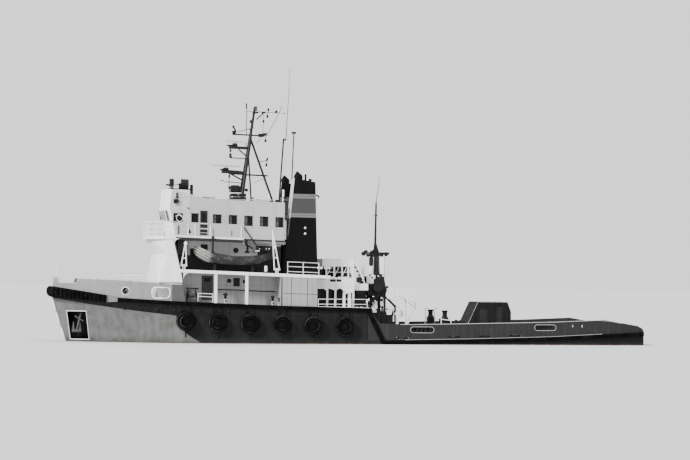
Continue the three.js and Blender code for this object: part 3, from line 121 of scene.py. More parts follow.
floor_shape = bmesh.new()
bmesh.ops.create_circle(floor_shape, cap_ends=True, radius=FLOOR_RADIUS, segments=96)
floor_mesh = bpy.data.meshes.new("floor")
floor_shape.to_mesh(floor_mesh)
floor_shape.free()
floor = bpy.data.objects.new("floor", floor_mesh)
bpy.context.scene.collection.objects.link(floor)
floor_paint = bpy.data.materials.new("floor_pale")
floor_paint.use_nodes = True
floor_shader = floor_paint.node_tree.nodes["Principled BSDF"]
floor_shader.inputs["Base Color"].default_value = FLOOR_GREY
floor_shader.inputs["Roughness"].default_value = 0.9
floor_mesh.materials.append(floor_paint)

# %% [markdown]
# A painted ship's side is never one flat colour. Each finish below starts from one colour and gets coats
# over it: a coat is a colour and a mask, and a mask is a formula on the place of each point. Such formulas
# could be wired by hand in the shader editor, but they are hard to read there. Field wraps one number that
# varies over the surface, and arithmetic on it adds the Math nodes, so that a formula here reads like a
# sum.

# %% Fields
class Field:
    """A number that varies over a surface"""

    def __init__(self, tree, socket):
        self.tree = tree
        self.socket = socket

    def math(self, operation, *others, clamp=False):
        node = self.tree.nodes.new("ShaderNodeMath")
        node.operation = operation
        node.use_clamp = clamp
        for socket, value in zip(node.inputs, (self, *others)):
            if isinstance(value, Field):
                self.tree.links.new(value.socket, socket)
            else:
                socket.default_value = value
        return Field(self.tree, node.outputs[0])

    def __add__(self, other):
        return self.math("ADD", other)

    def __sub__(self, other):
        return self.math("SUBTRACT", other)

    def __mul__(self, other):
        return self.math("MULTIPLY", other)

    def over(self, edge, softness=0.05):
        """1 where the number is over edge, 0 under it, with a soft step between"""
        return (self - edge).math("DIVIDE", softness).math("ADD", 0.5, clamp=True)

    def under(self, edge, softness=0.05):
        return self.over(edge, softness).math("MULTIPLY_ADD", -1.0, 1.0)

    def between(self, low, high, softness=0.02):
        return self.over(low, softness) * self.under(high, softness)

# %% [markdown]
# A Finish is one material. It reads the place of each point from Object coordinates, in metres, so its
# patterns go with the ship and not with the camera. Noise gives the wear, a brick texture gives the seams
# of plates and planks, and a Bump node gives relief that would cost far too many faces in the mesh.

# %% A finish in coats
class Finish:
    """A material that is built up in coats"""

    def __init__(self, name, colour, roughness=0.5, metallic=0.0, gloss=0.5):
        self.material = bpy.data.materials.new(name)
        self.material.use_nodes = True
        self.tree = self.material.node_tree
        self.shader = self.tree.nodes["Principled BSDF"]
        self.shader.inputs["Base Color"].default_value = (*colour, 1)
        self.shader.inputs["Roughness"].default_value = roughness
        self.shader.inputs["Metallic"].default_value = metallic
        self.shader.inputs["Specular IOR Level"].default_value = gloss
        self.colour = None
        self.start_colour = colour
        self.rough = None
        self.start_rough = roughness
        self.normal = None
        coordinates = self.tree.nodes.new("ShaderNodeTexCoord")
        self.place = coordinates.outputs["Object"]
        split = self.tree.nodes.new("ShaderNodeSeparateXYZ")
        self.tree.links.new(self.place, split.inputs[0])
        self.x, self.y, self.z = (Field(self.tree, split.outputs[i]) for i in range(3))

    def stretched(self, stretch):
        node = self.tree.nodes.new("ShaderNodeMapping")
        node.inputs["Scale"].default_value = stretch
        self.tree.links.new(self.place, node.inputs["Vector"])
        return node.outputs[0]

    def noise(self, scale, stretch=(1, 1, 1), detail=4.0, roughness=0.55, distortion=0.0):
        node = self.tree.nodes.new("ShaderNodeTexNoise")
        node.inputs["Scale"].default_value = scale
        node.inputs["Detail"].default_value = detail
        node.inputs["Roughness"].default_value = roughness
        node.inputs["Distortion"].default_value = distortion
        self.tree.links.new(self.stretched(stretch), node.inputs["Vector"])
        return Field(self.tree, node.outputs["Fac"])

    def seams(self, along, up, length, height, width):
        """1 on the lines of a running bond of plates or planks, from two fields for its directions"""
        node = self.tree.nodes.new("ShaderNodeTexBrick")
        node.inputs["Scale"].default_value = 1.0
        node.inputs["Brick Width"].default_value = length
        node.inputs["Row Height"].default_value = height
        node.inputs["Mortar Size"].default_value = width
        node.inputs["Mortar Smooth"].default_value = 0.4
        node.inputs["Color1"].default_value = (0, 0, 0, 1)
        node.inputs["Color2"].default_value = (1, 1, 1, 1)
        node.inputs["Mortar"].default_value = (0.5, 0.5, 0.5, 1)
        merge = self.tree.nodes.new("ShaderNodeCombineXYZ")
        for socket, field in zip(merge.inputs, (along, up)):
            self.tree.links.new(field.socket, socket)
        self.tree.links.new(merge.outputs[0], node.inputs["Vector"])
        return Field(self.tree, node.outputs["Fac"]), Field(self.tree, node.outputs["Color"])

    def coat(self, colour, mask):
        node = self.tree.nodes.new("ShaderNodeMix")
        node.data_type = "RGBA"
        into = [s for s in node.inputs if s.type == "RGBA"]
        into[1].default_value = (*colour, 1)
        if self.colour is None:
            into[0].default_value = (*self.start_colour, 1)
        else:
            self.tree.links.new(self.colour, into[0])
        self.tree.links.new(mask.socket, node.inputs["Factor"])
        self.colour = [s for s in node.outputs if s.type == "RGBA"][0]
        return self

    def roughen(self, change):
        base = self.rough if self.rough is not None else change * 0.0 + self.start_rough
        self.rough = (base + change).math("MAXIMUM", 0.05).math("MINIMUM", 1.0)
        return self

    def relief(self, height, depth, strength=1.0):
        node = self.tree.nodes.new("ShaderNodeBump")
        node.inputs["Distance"].default_value = depth
        node.inputs["Strength"].default_value = strength
        self.tree.links.new(height.socket, node.inputs["Height"])
        if self.normal is not None:
            self.tree.links.new(self.normal, node.inputs["Normal"])
        self.normal = node.outputs[0]
        return self

    def done(self):
        if self.colour is not None:
            self.tree.links.new(self.colour, self.shader.inputs["Base Color"])
        if self.rough is not None:
            self.tree.links.new(self.rough.socket, self.shader.inputs["Roughness"])
        if self.normal is not None:
            self.tree.links.new(self.normal, self.shader.inputs["Normal"])
        return self.material

# %% [markdown]
# Most of the ship is steel plate under paint. Weld seams show as faint lines, the plates are slightly
# dented, dirt runs down them and rust comes through in spots. One function makes all the paints, with more
# or less of each.

# %% Painted steel
STREAK_RUST = (0.16, 0.075, 0.035)
SEAM_WIDTH = 0.012


def painted_steel(name, colour, dirt, roughness=0.45, grime=0.5, plates=(3.0, 1.15), rust=0.25, gloss=0.18):
    """Steel plates under paint: weld seams, slight dents, dirt that runs down, and a little rust"""
    finish = Finish(name, colour, roughness, gloss=gloss)
    run = finish.x + finish.y * 0.7
    finish.coat(dirt, finish.noise(0.9, detail=6.0).over(0.52, 0.35) * grime * 0.5)
    streaks = finish.noise(1.0, stretch=(7.0, 7.0, 0.45), detail=5.0)
    finish.coat(dirt, streaks.over(0.6, 0.22) * grime)
    spots = finish.noise(5.0, detail=6.0, roughness=0.7)
    finish.coat(STREAK_RUST, (streaks * spots).over(0.4, 0.05) * rust)
    seam, _ = finish.seams(run, finish.z, plates[0], plates[1], SEAM_WIDTH)
    finish.coat(dirt, seam * 0.25)
    finish.relief(seam, 0.006, 0.6)
    finish.relief(finish.noise(1.6, stretch=(2.0, 2.0, 0.7), detail=1.0), 0.03, 0.35)
    finish.roughen((spots - 0.5) * 0.3)
    return finish

# %% [markdown]
# The hull carries three paints. The topsides are nearly black, and forward of a slanting line a light grey
# panel reaches down to the water, under a dark band that follows the deck. Below the water lies the dull
# red-brown of an antifouling. The borders could be cut into the mesh. A formula in X and Z draws each of
# them sharper, and the same on both sides of the ship.

# %% Hull paint
WATERLINE = 0.03
PANEL_GREY = (0.14, 0.14, 0.138)
TOPSIDE_BLACK = (0.005, 0.005, 0.0056)
ANTIFOULING_RED = (0.07, 0.032, 0.026)
WEED = (0.13, 0.12, 0.08)
# The band's lower edge is a curve in X from a point on it, the panel's after edge a curve in Z through two.
BAND_X, BAND_Z = -9.094, 1.331
BAND_SLOPE, BAND_CURVE = -0.1307, 0.00773
PANEL_X, PANEL_FOOT, PANEL_WAIST = -6.094, 0.061, 0.607
PANEL_SLOPE, PANEL_CURVE = -1.2985, 0.8495
# The anchor's pocket leans with the stem.
POCKET_LEAN, POCKET_X, POCKET_Z = 0.1586, (-11.01, -10.285), (0.1, 1.22)
QUARTER_X = 1.2


def hull_finish():
    finish = painted_steel(
        "hull_paint", TOPSIDE_BLACK, (0.014, 0.014, 0.0136), 0.55, 0.6, rust=0.06, gloss=0.14)
    along = finish.x - BAND_X
    band_edge = along * along * BAND_CURVE + along * BAND_SLOPE + BAND_Z
    up = finish.z - PANEL_FOOT
    panel_edge = up * PANEL_SLOPE + up * (finish.z - PANEL_WAIST) * PANEL_CURVE + PANEL_X
    panel = (band_edge - finish.z).over(0.0, 0.015) * (panel_edge - finish.x).over(0.0, 0.03)
    finish.coat(PANEL_GREY, panel)
    streaks = finish.noise(1.0, stretch=(5.0, 5.0, 0.35), detail=6.0)
    finish.coat((0.075, 0.074, 0.071), panel * streaks.over(0.5, 0.25) * 0.55)
    finish.coat((0.1, 0.09, 0.075), panel * finish.noise(3.0, detail=7.0).over(0.62, 0.1) * 0.35)
    splash = finish.z.under(0.16, 0.3) * finish.noise(2.0, stretch=(1, 1, 0.5)).over(0.4, 0.3)
    finish.coat((0.02, 0.021, 0.018), splash * 0.6)
    # Painted shade: the hull aft of QUARTER_X is darker, above the water.
    finish.coat((0.0025, 0.0025, 0.0025), finish.x.over(QUARTER_X, 0.6) * finish.z.over(0.1, 0.05) * 0.7)
    # Painted shade inside the anchor pocket.
    leaning = finish.x + finish.z * POCKET_LEAN
    pocket_shade = leaning.between(*POCKET_X, 0.004) * finish.z.between(*POCKET_Z, 0.004)
    finish.coat((0.004, 0.004, 0.004), pocket_shade)
    finish.coat(ANTIFOULING_RED, finish.z.under(WATERLINE, 0.01))
    fouled = finish.noise(4.0, detail=8.0).over(0.55, 0.1) * 0.5
    finish.coat(WEED, finish.z.under(WATERLINE) * fouled)
    return finish.done()


HULL_PAINT = hull_finish()
print("hull paint, light panel up to x", PANEL_X)

# %% [markdown]
# Deckhouses and bulwarks are painted in white and greys. Each could be a material of its own making, but
# they are the same enamel with more or less wear, so a short table gives each paint its colour, its dirt
# and how much of it there is.

# %% Painted steel in its colours
WHITE, WHITE_DIRT = (0.84, 0.84, 0.83), (0.5, 0.485, 0.46)
PAINTS = {
    # name: (colour, dirt, roughness, grime, rust)
    "white_paint": (WHITE, WHITE_DIRT, 0.42, 0.3, 0.16),
    "light_grey_paint": ((0.43, 0.43, 0.426), (0.25, 0.24, 0.228), 0.48, 0.4, 0.2),
    "dark_grey_paint": ((0.015, 0.015, 0.0156), (0.036, 0.035, 0.033), 0.55, 0.5, 0.12),
    "black_steel": ((0.007, 0.007, 0.0075), (0.024, 0.022, 0.02), 0.5, 0.4, 0.1),
    "door_paint": ((0.012, 0.012, 0.013), (0.04, 0.038, 0.035), 0.4, 0.3, 0.05),
}
PAINT = {
    name: painted_steel(name, colour, dirt, roughness, grime, rust=rust).done()
    for name, (colour, dirt, roughness, grime, rust) in PAINTS.items()
}
print("paints", sorted(PAINT))

# %% [markdown]
# Some plates carry more than one paint. Here come the bulwark, which is darker where it runs beside the
# house, and the house walls, which are nearly black with painted shade behind the boat. Decks and houses
# slope down aft by one in thirty, so height on them is measured along that slope.

# %% Paints of the bulwark and the house walls
DECK_SLOPE = 1 / 30
SLOPE_ORIGIN = -4.6
SHADE = (0.008, 0.008, 0.0085)
HOUSE_FRONT_X = -7.23


def level_of(finish):
    """Height above the water, measured along the sloping decks"""
    return finish.z + (finish.x - SLOPE_ORIGIN) * DECK_SLOPE


def bulwark_finish():
    finish = painted_steel("bulwark_grey", (0.215, 0.215, 0.213), (0.14, 0.137, 0.133), 0.48, 0.4, rust=0.1)
    finish.coat((0.068, 0.068, 0.069), finish.x.over(HOUSE_FRONT_X, 0.02))
    joint = finish.x.between(HOUSE_FRONT_X - 0.04, HOUSE_FRONT_X + 0.03, 0.01)
    finish.coat((0.3, 0.3, 0.297), joint * 0.4)
    return finish.done()


def house_finish(name, colour, soot_and_shade=False):
    """Grey walls; behind a boat they are black with painted shade, most of all by its ends"""
    finish = painted_steel(name, colour, [part * 0.5 for part in colour], 0.48, 0.4, rust=0.14)
    if soot_and_shade:
        # Painted shade behind the boat: grey towards the tower, mottled black beside it, and black low down
        # and by the boat's ends.
        mottled = finish.noise(3.5, detail=6.0).over(0.42, 0.2)
        level = level_of(finish)
        finish.coat((0.1, 0.1, 0.1), finish.x.under(-6.5, 0.15))
        finish.coat(SHADE, finish.x.under(-6.6, 0.1) * mottled * 0.6)
        finish.coat(SHADE, level.under(3.7, 0.05) * finish.x.between(-6.42, -6.12, 0.06))
        finish.coat(SHADE, level.under(3.92, 0.04) * finish.x.over(-3.72, 0.04) * 0.95)
        finish.coat(SHADE, level.under(3.42, 0.05))
    return finish.done()

# %% [markdown]
# The tower below the wheelhouse is white up to the recess where the boat hangs, and past its edge painted
# shade darkens the recess. The two upper decks have a white edge, with a painted shadow on it under the
# wings, and above it the wings of the bridge are grey and the boat's deck lies in painted shade.

# %% Paints of the tower and the deck edges
BOAT_DECK, BRIDGE_DECK = 2.835, 4.12
RECESS_X, RECESS_Z, RECESS_LEAN = -6.906, 2.886, 0.2419
WING_X = (-7.1, -4.395)


def tower_finish():
    """White, with painted shade past a slanting line where the recess of the boat begins, and a dark line at
    the foot
    """
    finish = painted_steel("tower_white", WHITE, WHITE_DIRT, 0.42, 0.3, rust=0.12)
    level = level_of(finish)
    edge = (finish.x - RECESS_X) + (level - RECESS_Z) * RECESS_LEAN
    # Painted shade inside the recess, aft of its slanting edge.
    finish.coat((0.03, 0.03, 0.03), edge.over(0.0, 0.01) * level.over(2.86, 0.02))
    finish.coat((0.12, 0.12, 0.118), level.between(2.12, 2.2, 0.01) * finish.x.over(-7.9, 0.3))
    return finish.done()


def deck_edge_finish(name, deck, winged):
    """White, with grey wings over the deck of the bridge and a painted shadow under them, or painted shade on
    the deck under the boats
    """
    finish = painted_steel(name, WHITE, WHITE_DIRT, 0.42, 0.3, rust=0.12)
    level = level_of(finish)
    above = level.over(deck + 0.004, 0.004)
    out = finish.y.math("ABSOLUTE")
    if winged:
        start, end = WING_X
        below = above.math("MULTIPLY_ADD", -1.0, 1.0)
        wing_shadow = level.under(deck - 0.022, 0.006) * finish.x.between(start + 0.02, end - 0.005, 0.01)
        finish.coat((0.38, 0.38, 0.376), above * finish.x.over(start, 0.01) * out.over(2.8, 0.01))
        # Painted shadow on the lower part of the edge, under the wings.
        finish.coat((0.02, 0.02, 0.02), wing_shadow)
        finish.coat((0.15, 0.15, 0.148), finish.x.over(end, 0.004) * below)
    else:
        finish.coat(SHADE, above * out.under(2.7, 0.01) * finish.x.under(-2.9, 0.05))
    return finish.done()

# %% [markdown]
# The casing on the working deck is dark, and painted shade makes its raked front darkest. Then a table says
# which solid gets which of these paints. Solids that aren't in it get the paint of their slot.

# %% Paint of the casing, and who gets which paint
CASING_FRONT_X, CASING_RAKE = 4.712, 0.461


def casing_finish():
    finish = painted_steel(
        "casing_paint", (0.01, 0.01, 0.0105), (0.03, 0.029, 0.027), 0.6, 0.4, rust=0.12, gloss=0.06)
    # Painted shade on the raked front.
    finish.coat((0.003, 0.003, 0.003), (finish.x - finish.z * CASING_RAKE).under(CASING_FRONT_X, 0.004))
    return finish.done()


HOUSE_PAINT = {
    "deck_casing": casing_finish(),
    "bulwark_fore": bulwark_finish(),
    "superstructure_front": tower_finish(),
    "deckhouse_main": house_finish("deckhouse_grey", (0.3, 0.3, 0.297)),
    "deckhouse_upper": house_finish("upper_house_grey", (0.7, 0.7, 0.693), soot_and_shade=True),
    **{f"deck_door_{side}": house_finish(f"deck_door_{side}", (0.045, 0.045, 0.046)) for side in SIDES},
    "boat_deck": deck_edge_finish("boat_deck_white", BOAT_DECK, winged=False),
    "bridge_deck": deck_edge_finish("bridge_deck_white", BRIDGE_DECK, winged=True),
}
print("paints made for", len(HOUSE_PAINT), "solids")

# %% [markdown]
# The funnels are black with a grey band between two lighter stripes. The band slopes slightly, so its
# borders are lines in Z plus a small part of X. Soot darkens the top in streaks, and the raked front edge is
# light. A picture wrapped round the funnel could do it too, but a formula stays sharp at any size.

# %% Funnel paint
SOOT = (0.02, 0.02, 0.02)
BAND_SLANT = 0.012
BAND_LEVELS = (5.0, 5.93)
STRIPE_LEVELS = [(5.755, 5.93), (5.0, 5.16)]
# The front edge is raked: X at the water, and how far it goes aft for each metre up.
FUNNEL_FRONT_X, FUNNEL_RAKE = -3.032, 0.1055


def funnel_finish():
    finish = painted_steel(
        "funnel_paint", (0.0016, 0.0016, 0.0017), (0.005, 0.005, 0.005), 0.5, 0.4,
        rust=0.03, gloss=0.08)
    level = finish.z + finish.x * BAND_SLANT
    finish.coat((0.05, 0.05, 0.051), level.between(*BAND_LEVELS, 0.01))
    for low, high in STRIPE_LEVELS:
        middle = (low + high) / 2
        finish.coat((0.14, 0.14, 0.14), level.between(low, high, 0.01))
        finish.coat((0.09, 0.09, 0.09), level.between(middle - 0.012, middle + 0.012, 0.01))
    soot_and_shade = finish.noise(2.5, stretch=(3.0, 3.0, 0.6), detail=6.0)
    finish.coat(SOOT, (finish.z.over(5.9, 1.2) + 0.3) * soot_and_shade.over(0.5, 0.3) * 0.12)
    raked = level_of(finish) * FUNNEL_RAKE + FUNNEL_FRONT_X
    front = (raked - finish.x).over(-0.012, 0.004) * finish.z.over(4.3, 0.1)
    finish.coat((0.1, 0.1, 0.1), front)
    finish.coat((0.55, 0.55, 0.545), front * finish.z.over(5.0, 0.01))
    return finish.done()


FUNNEL_PAINT = funnel_finish()

# %% [markdown]
# The fenders and tyres are black rubber, which is matt, scuffed and finely cracked. The rims of the tyres
# carry a grey painted highlight, and ahead of the side fender its belt is bare and painted grey.

# %% Rubber
RUBBER_BLACK, SCUFFED = (0.0016, 0.0016, 0.0017), (0.008, 0.0078, 0.0076)
BARE_BELT_X = -9.3


def rubber_finish():
    finish = Finish("rubber", RUBBER_BLACK, roughness=0.9, gloss=0.05)
    finish.coat(SCUFFED, finish.noise(3.0, detail=8.0, roughness=0.7).over(0.54, 0.2) * 0.6)
    finish.coat((0.03, 0.027, 0.022), finish.noise(9.0, detail=4.0).over(0.66, 0.05) * 0.3)
    finish.relief(finish.noise(24.0, detail=6.0), 0.006, 0.6)
    return finish.done()


def fender_finish(name):
    """Rubber, with grey paint on the bare belt ahead of it"""
    finish = Finish(name, RUBBER_BLACK, roughness=0.9, gloss=0.05)
    finish.coat(SCUFFED, finish.noise(3.0, detail=8.0, roughness=0.7).over(0.54, 0.2) * 0.6)
    finish.coat((0.2, 0.2, 0.198), finish.x.under(BARE_BELT_X, 0.006))
    finish.relief(finish.noise(24.0, detail=6.0), 0.006, 0.6)
    return finish.done()


def tyre_highlight_finish():
    """A grey painted highlight on the rims of the tyres"""
    finish = painted_steel(
        "tyre_highlight", (0.05, 0.05, 0.05), (0.01, 0.01, 0.01), 0.7, 0.8, rust=0.0, gloss=0.08)
    finish.coat((0.004, 0.004, 0.004), finish.noise(2.5, detail=5.0).over(0.5, 0.1))
    return finish.done()

# %% [markdown]
# The working deck is laid with planks along the ship, worn grey by chain and sea. A brick texture lays
# them, and a noise drawn out along X gives the grain. Bare metal and rope need only a colour, worn patches
# and a fine relief.

# %% Planks, bare metal and rope
PLANK_LENGTH, PLANK_WIDTH, PLANK_SEAM = 2.4, 0.15, 0.008
PATCH_RUST = (0.16, 0.09, 0.055)


def plank_finish():
    finish = Finish("deck_wood", (0.2, 0.17, 0.14), roughness=0.8)
    seam, tone = finish.seams(finish.x, finish.y, PLANK_LENGTH, PLANK_WIDTH, PLANK_SEAM)
    finish.coat((0.12, 0.1, 0.085), tone * 0.6)
    grain = finish.noise(2.0, stretch=(1.0, 26.0, 26.0), detail=8.0)
    finish.coat((0.3, 0.28, 0.25), grain.over(0.52, 0.25) * 0.5)
    finish.coat((0.02, 0.02, 0.02), seam * 0.9)
    finish.coat((0.04, 0.038, 0.035), finish.noise(0.8, detail=7.0).over(0.56, 0.15) * 0.5)
    finish.relief(seam * -1.0, 0.01, 0.8)
    finish.relief(grain, 0.004, 0.6)
    return finish.done()


def bare_metal(name, colour, metallic, roughness, rust):
    finish = Finish(name, colour, roughness, metallic)
    patches = finish.noise(4.0, detail=8.0, roughness=0.65)
    finish.coat(PATCH_RUST, patches.over(0.6 - rust * 0.2, 0.12) * rust)
    finish.roughen((finish.noise(30.0, stretch=(1, 1, 6)) - 0.5) * 0.4)
    finish.relief(patches, 0.004, 0.5)
    return finish.done()


def rope_finish():
    finish = Finish("rope", (0.15, 0.147, 0.14), roughness=0.9, gloss=0.1)
    finish.coat((0.03, 0.028, 0.024), finish.noise(14.0, detail=6.0).over(0.5, 0.2) * 0.7)
    finish.relief(finish.noise(60.0, stretch=(1, 1, 2)), 0.006)
    return finish.done()

# %% [markdown]
# The boats are the most weathered things aboard: dull, blotched, and at their forward end worn through to
# pale stripes. The glass of the windows is dark and a little dusty, with a paler strip at one edge of each
# pane.

# %% Boats and glass
BOAT_STRAKES = (9.0, 0.055)
WORN_BOW_X = -5.45
WINDOW_PITCH, FIRST_PALE_STRIP_X, PALE_STRIPS_X = 0.625, -5.555, (-5.6, -2.9)


def boat_finish():
    finish = painted_steel(
        "boat_paint", (0.05, 0.049, 0.0475), (0.016, 0.0155, 0.015), grime=0.9, plates=BOAT_STRAKES)
    blotches = finish.noise(2.2, detail=8.0, roughness=0.7, distortion=0.8)
    finish.coat((0.02, 0.0195, 0.019), blotches.over(0.46, 0.12) * 0.75)
    finish.coat((0.13, 0.127, 0.12), finish.noise(6.0, detail=6.0).over(0.6, 0.08) * 0.5)
    planks = finish.noise(3.0, stretch=(1.0, 1.0, 6.0), detail=4.0)
    stripes = (finish.x * 5.0 + finish.z * 9.0).math("FRACT").between(0.08, 0.5, 0.15)
    worn = (finish.x + planks * 0.5).under(WORN_BOW_X, 0.1) * planks.over(0.36, 0.2)
    finish.coat((0.17, 0.166, 0.16), worn * 0.7)
    finish.coat((0.42, 0.41, 0.395), worn * stripes * 0.85)
    return finish.done()


def glass_finish():
    finish = Finish("window_glass", (0.004, 0.004, 0.0042), roughness=0.15, gloss=0.12)
    finish.coat((0.02, 0.0205, 0.021), finish.noise(1.3, detail=3.0).over(0.55, 0.3) * 0.5)
    bay = ((finish.x - FIRST_PALE_STRIP_X) * (1 / WINDOW_PITCH)).math("FRACT")
    pale_strip = bay.between(0.0, 0.17, 0.04) * finish.x.between(*PALE_STRIPS_X, 0.01) * finish.z.over(4.3, 0.05)
    finish.coat((0.1, 0.1, 0.098), pale_strip * finish.noise(5.0, detail=3.0).over(0.4, 0.3))
    finish.roughen(finish.noise(7.0, detail=6.0).over(0.6, 0.2) * 0.2)
    return finish.done()

# %% [markdown]
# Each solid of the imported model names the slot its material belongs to. One table maps the slots to the
# finishes, and one loop puts them on. What is in the table of special paints above gets its own paint
# instead.

# %% All finishes on the solids
FINISH = {
    **PAINT,
    "hull_paint": HULL_PAINT,
    "funnel_paint": FUNNEL_PAINT,
    "rubber": rubber_finish(),
    "tyre_highlight": tyre_highlight_finish(),
    "deck_wood": plank_finish(),
    "worn_steel": bare_metal("worn_steel", (0.33, 0.33, 0.325), 0.7, 0.45, 0.6),
    "bronze": bare_metal("bronze", (0.5, 0.34, 0.14), 0.9, 0.35, 0.15),
    "boat_paint": boat_finish(),
    "rope": rope_finish(),
    "window_glass": glass_finish(),
    "antifouling": painted_steel("antifouling", (0.09, 0.035, 0.028), (0.1, 0.1, 0.07), 0.8, 0.8).done(),
}
for side in SIDES:
    HOUSE_PAINT[f"fender_{side}"] = fender_finish(f"fender_rubber_{side}")
    # The anchors' grey is partly their steel and partly a painted glint.
    HOUSE_PAINT[f"anchor_{side}"] = painted_steel(
        f"anchor_steel_and_glint_{side}", (0.09, 0.09, 0.088), (0.03, 0.029, 0.027), 0.5, 0.5, rust=0.3).done()
for row in frame["record"]["subparts"]:
    node = frame["nodes"][row["node"]]
    for place in node.material_slots:
        place.material = HOUSE_PAINT.get(row["node"]) or FINISH[row["material_slot"]]

# %% [markdown]
# The fittings are built with mesh operators. A Piece gathers the few simple solids that make one fitting:
# blocks, round bars, rings, turned shapes and cut plates. Each could be an object of its own, but a fitting
# that is one object is easier to paint and to carry. Most fittings stand on both sides of the ship, so a
# piece can be mirrored. The house decks slope down aft, so a piece drawn level can be sheared to them.

# %% Pieces
AFT, ATHWART, UP = (1, 0, 0), (0, 1, 0), (0, 0, 1)
MIRROR = Matrix.Diagonal((1, -1, 1, 1))
SHEAR = Matrix.Identity(4)
SHEAR[2][0], SHEAR[2][3] = -DECK_SLOPE, DECK_SLOPE * SLOPE_ORIGIN
# Rope and the painted highlight of the tyres are finishes of the scene alone, and count as
# slots that the model has.
SAME_PLACE = 0.00005


def from_to(start, end):
    """The placing of a thing drawn upright round the origin, between two points"""
    start, end = Vector(start), Vector(end)
    return Matrix.Translation((start + end) / 2) @ (end - start).to_track_quat("Z", "Y").to_matrix().to_4x4()


class Piece:
    """Simple solids that are gathered into one object"""

    def __init__(self):
        self.mesh = bmesh.new()

    def block(self, x, y, z, bevel=0.0, turn=None):
        """A box between two values on each axis, turned in place if asked"""
        centre = Vector([(low + high) / 2 for low, high in (x, y, z)])
        size = [abs(high - low) for low, high in (x, y, z)]
        matrix = Matrix.Translation(centre) @ (turn or Matrix()) @ Matrix.Diagonal((*size, 1))
        made = bmesh.ops.create_cube(self.mesh, size=1.0, matrix=matrix)
        if bevel:
            edges = list({edge for vert in made["verts"] for edge in vert.link_edges})
            bmesh.ops.bevel(
                self.mesh, geom=edges, offset=bevel, segments=1, profile=0.5, affect="EDGES", material=-1
            )
        return self

    def bar(self, start, end, radius, sides=8, tip=None):
        """A round bar, or a cone when the tip has another radius"""
        length = (Vector(end) - Vector(start)).length
        bmesh.ops.create_cone(
            self.mesh, cap_ends=True, segments=sides, radius1=radius, radius2=radius if tip is None else tip,
            depth=length, matrix=from_to(start, end),
        )
        return self

    def beam(self, start, end, width, depth=None):
        """A square bar between two points"""
        length = (Vector(end) - Vector(start)).length
        size = Matrix.Diagonal((depth or width, width, length, 1))
        bmesh.ops.create_cube(self.mesh, size=1.0, matrix=from_to(start, end) @ size)
        return self

    def run(self, points, radius, sides=6):
        """Bars through a line of points"""
        for start, end in zip(points, points[1:]):
            self.bar(start, end, radius, sides)
        return self

    def ball(self, centre, radius, sides=10):
        matrix = Matrix.Translation(centre)
        bmesh.ops.create_uvsphere(
            self.mesh, u_segments=sides, v_segments=sides // 2, radius=radius, matrix=matrix)
        return self

    def turned(self, centre, axis, outline, sides=20):
        """An outline of (radius, height) pairs, spun round an axis through the centre"""
        place = Matrix.Translation(centre) @ Vector(axis).to_track_quat("Z", "Y").to_matrix().to_4x4()
        verts = [self.mesh.verts.new(place @ Vector((radius, 0, height))) for radius, height in outline]
        edges = [self.mesh.edges.new(pair) for pair in zip(verts, verts[1:])]
        bmesh.ops.spin(
            self.mesh, geom=verts + edges, cent=centre, axis=Vector(axis).normalized(), dvec=(0, 0, 0),
            angle=2 * math.pi, steps=sides, use_merge=True, use_normal_flip=False, use_duplicate=False,
        )
        return self

    def ring(self, centre, axis, radius, tube, sides=20, round_sides=8):
        """A torus: a small circle, spun"""
        steps = [2 * math.pi * k / round_sides for k in range(round_sides + 1)]
        outline = [(radius + tube * math.cos(a), tube * math.sin(a)) for a in steps]
        return self.turned(centre, axis, outline, sides)

    def disc(self, centre, axis, radius, thick, sides=16):
        half = Vector(axis).normalized() * thick / 2
        return self.bar(Vector(centre) - half, Vector(centre) + half, radius, sides)

    def plate(self, outline, across):
        """A flat plate from its corners, given its thickness as a vector"""
        face = self.mesh.faces.new([self.mesh.verts.new(corner) for corner in outline])
        grown = bmesh.ops.extrude_face_region(self.mesh, geom=[face])
        moved = [item for item in grown["geom"] if isinstance(item, bmesh.types.BMVert)]
        bmesh.ops.translate(self.mesh, verts=moved, vec=across)
        return self

    def frame(self, centre, along, up, width, height, bar, proud):
        """Four blocks round an opening; along and up are directions"""
        along, up = Vector(along).normalized(), Vector(up).normalized()
        centre = Vector(centre)
        for side in (-1, 1):
            post = centre + along * side * (width + bar) / 2
            self.beam(post - up * (height / 2 + bar), post + up * (height / 2 + bar), bar, proud)
            rail = centre + up * side * (height + bar) / 2
            self.beam(rail - along * width / 2, rail + along * width / 2, bar, proud)
        return self

    def done(self, name, finish, body=HULL_BODY, sloped=False, mirrored=False, smooth=False):
        """Closes the piece: shear, mirror, normals, finish, and the body that carries it"""
        if sloped:
            bmesh.ops.transform(self.mesh, matrix=SHEAR, verts=self.mesh.verts)
        bmesh.ops.remove_doubles(self.mesh, verts=self.mesh.verts, dist=SAME_PLACE)
        if mirrored:
            everything = self.mesh.verts[:] + self.mesh.edges[:] + self.mesh.faces[:]
            copied = bmesh.ops.duplicate(self.mesh, geom=everything)
            verts = [item for item in copied["geom"] if isinstance(item, bmesh.types.BMVert)]
            bmesh.ops.transform(self.mesh, matrix=MIRROR, verts=verts)
        bmesh.ops.recalc_face_normals(self.mesh, faces=self.mesh.faces)
        shape = bpy.data.meshes.new(name)
        self.mesh.to_mesh(shape)
        self.mesh.free()
        for polygon in shape.polygons:
            polygon.use_smooth = smooth
        thing = bpy.data.objects.new(name, shape)
        bpy.context.scene.collection.objects.link(thing)
        shape.materials.append(FINISH[finish])
        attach(thing, body)
        print(name, "on", body, len(shape.polygons), "faces")

# %% [markdown]
# Fittings on curved plating need its exact place. It could be read off a drawing. Skin instead shoots a
# line at the solid model's own mesh, and gives the point where it meets and the outward direction there, so
# that a rail or a rim sits on the plate and not beside it.

# %% Where the plating is
SEARCH_FROM = 20.0
TREES = {}


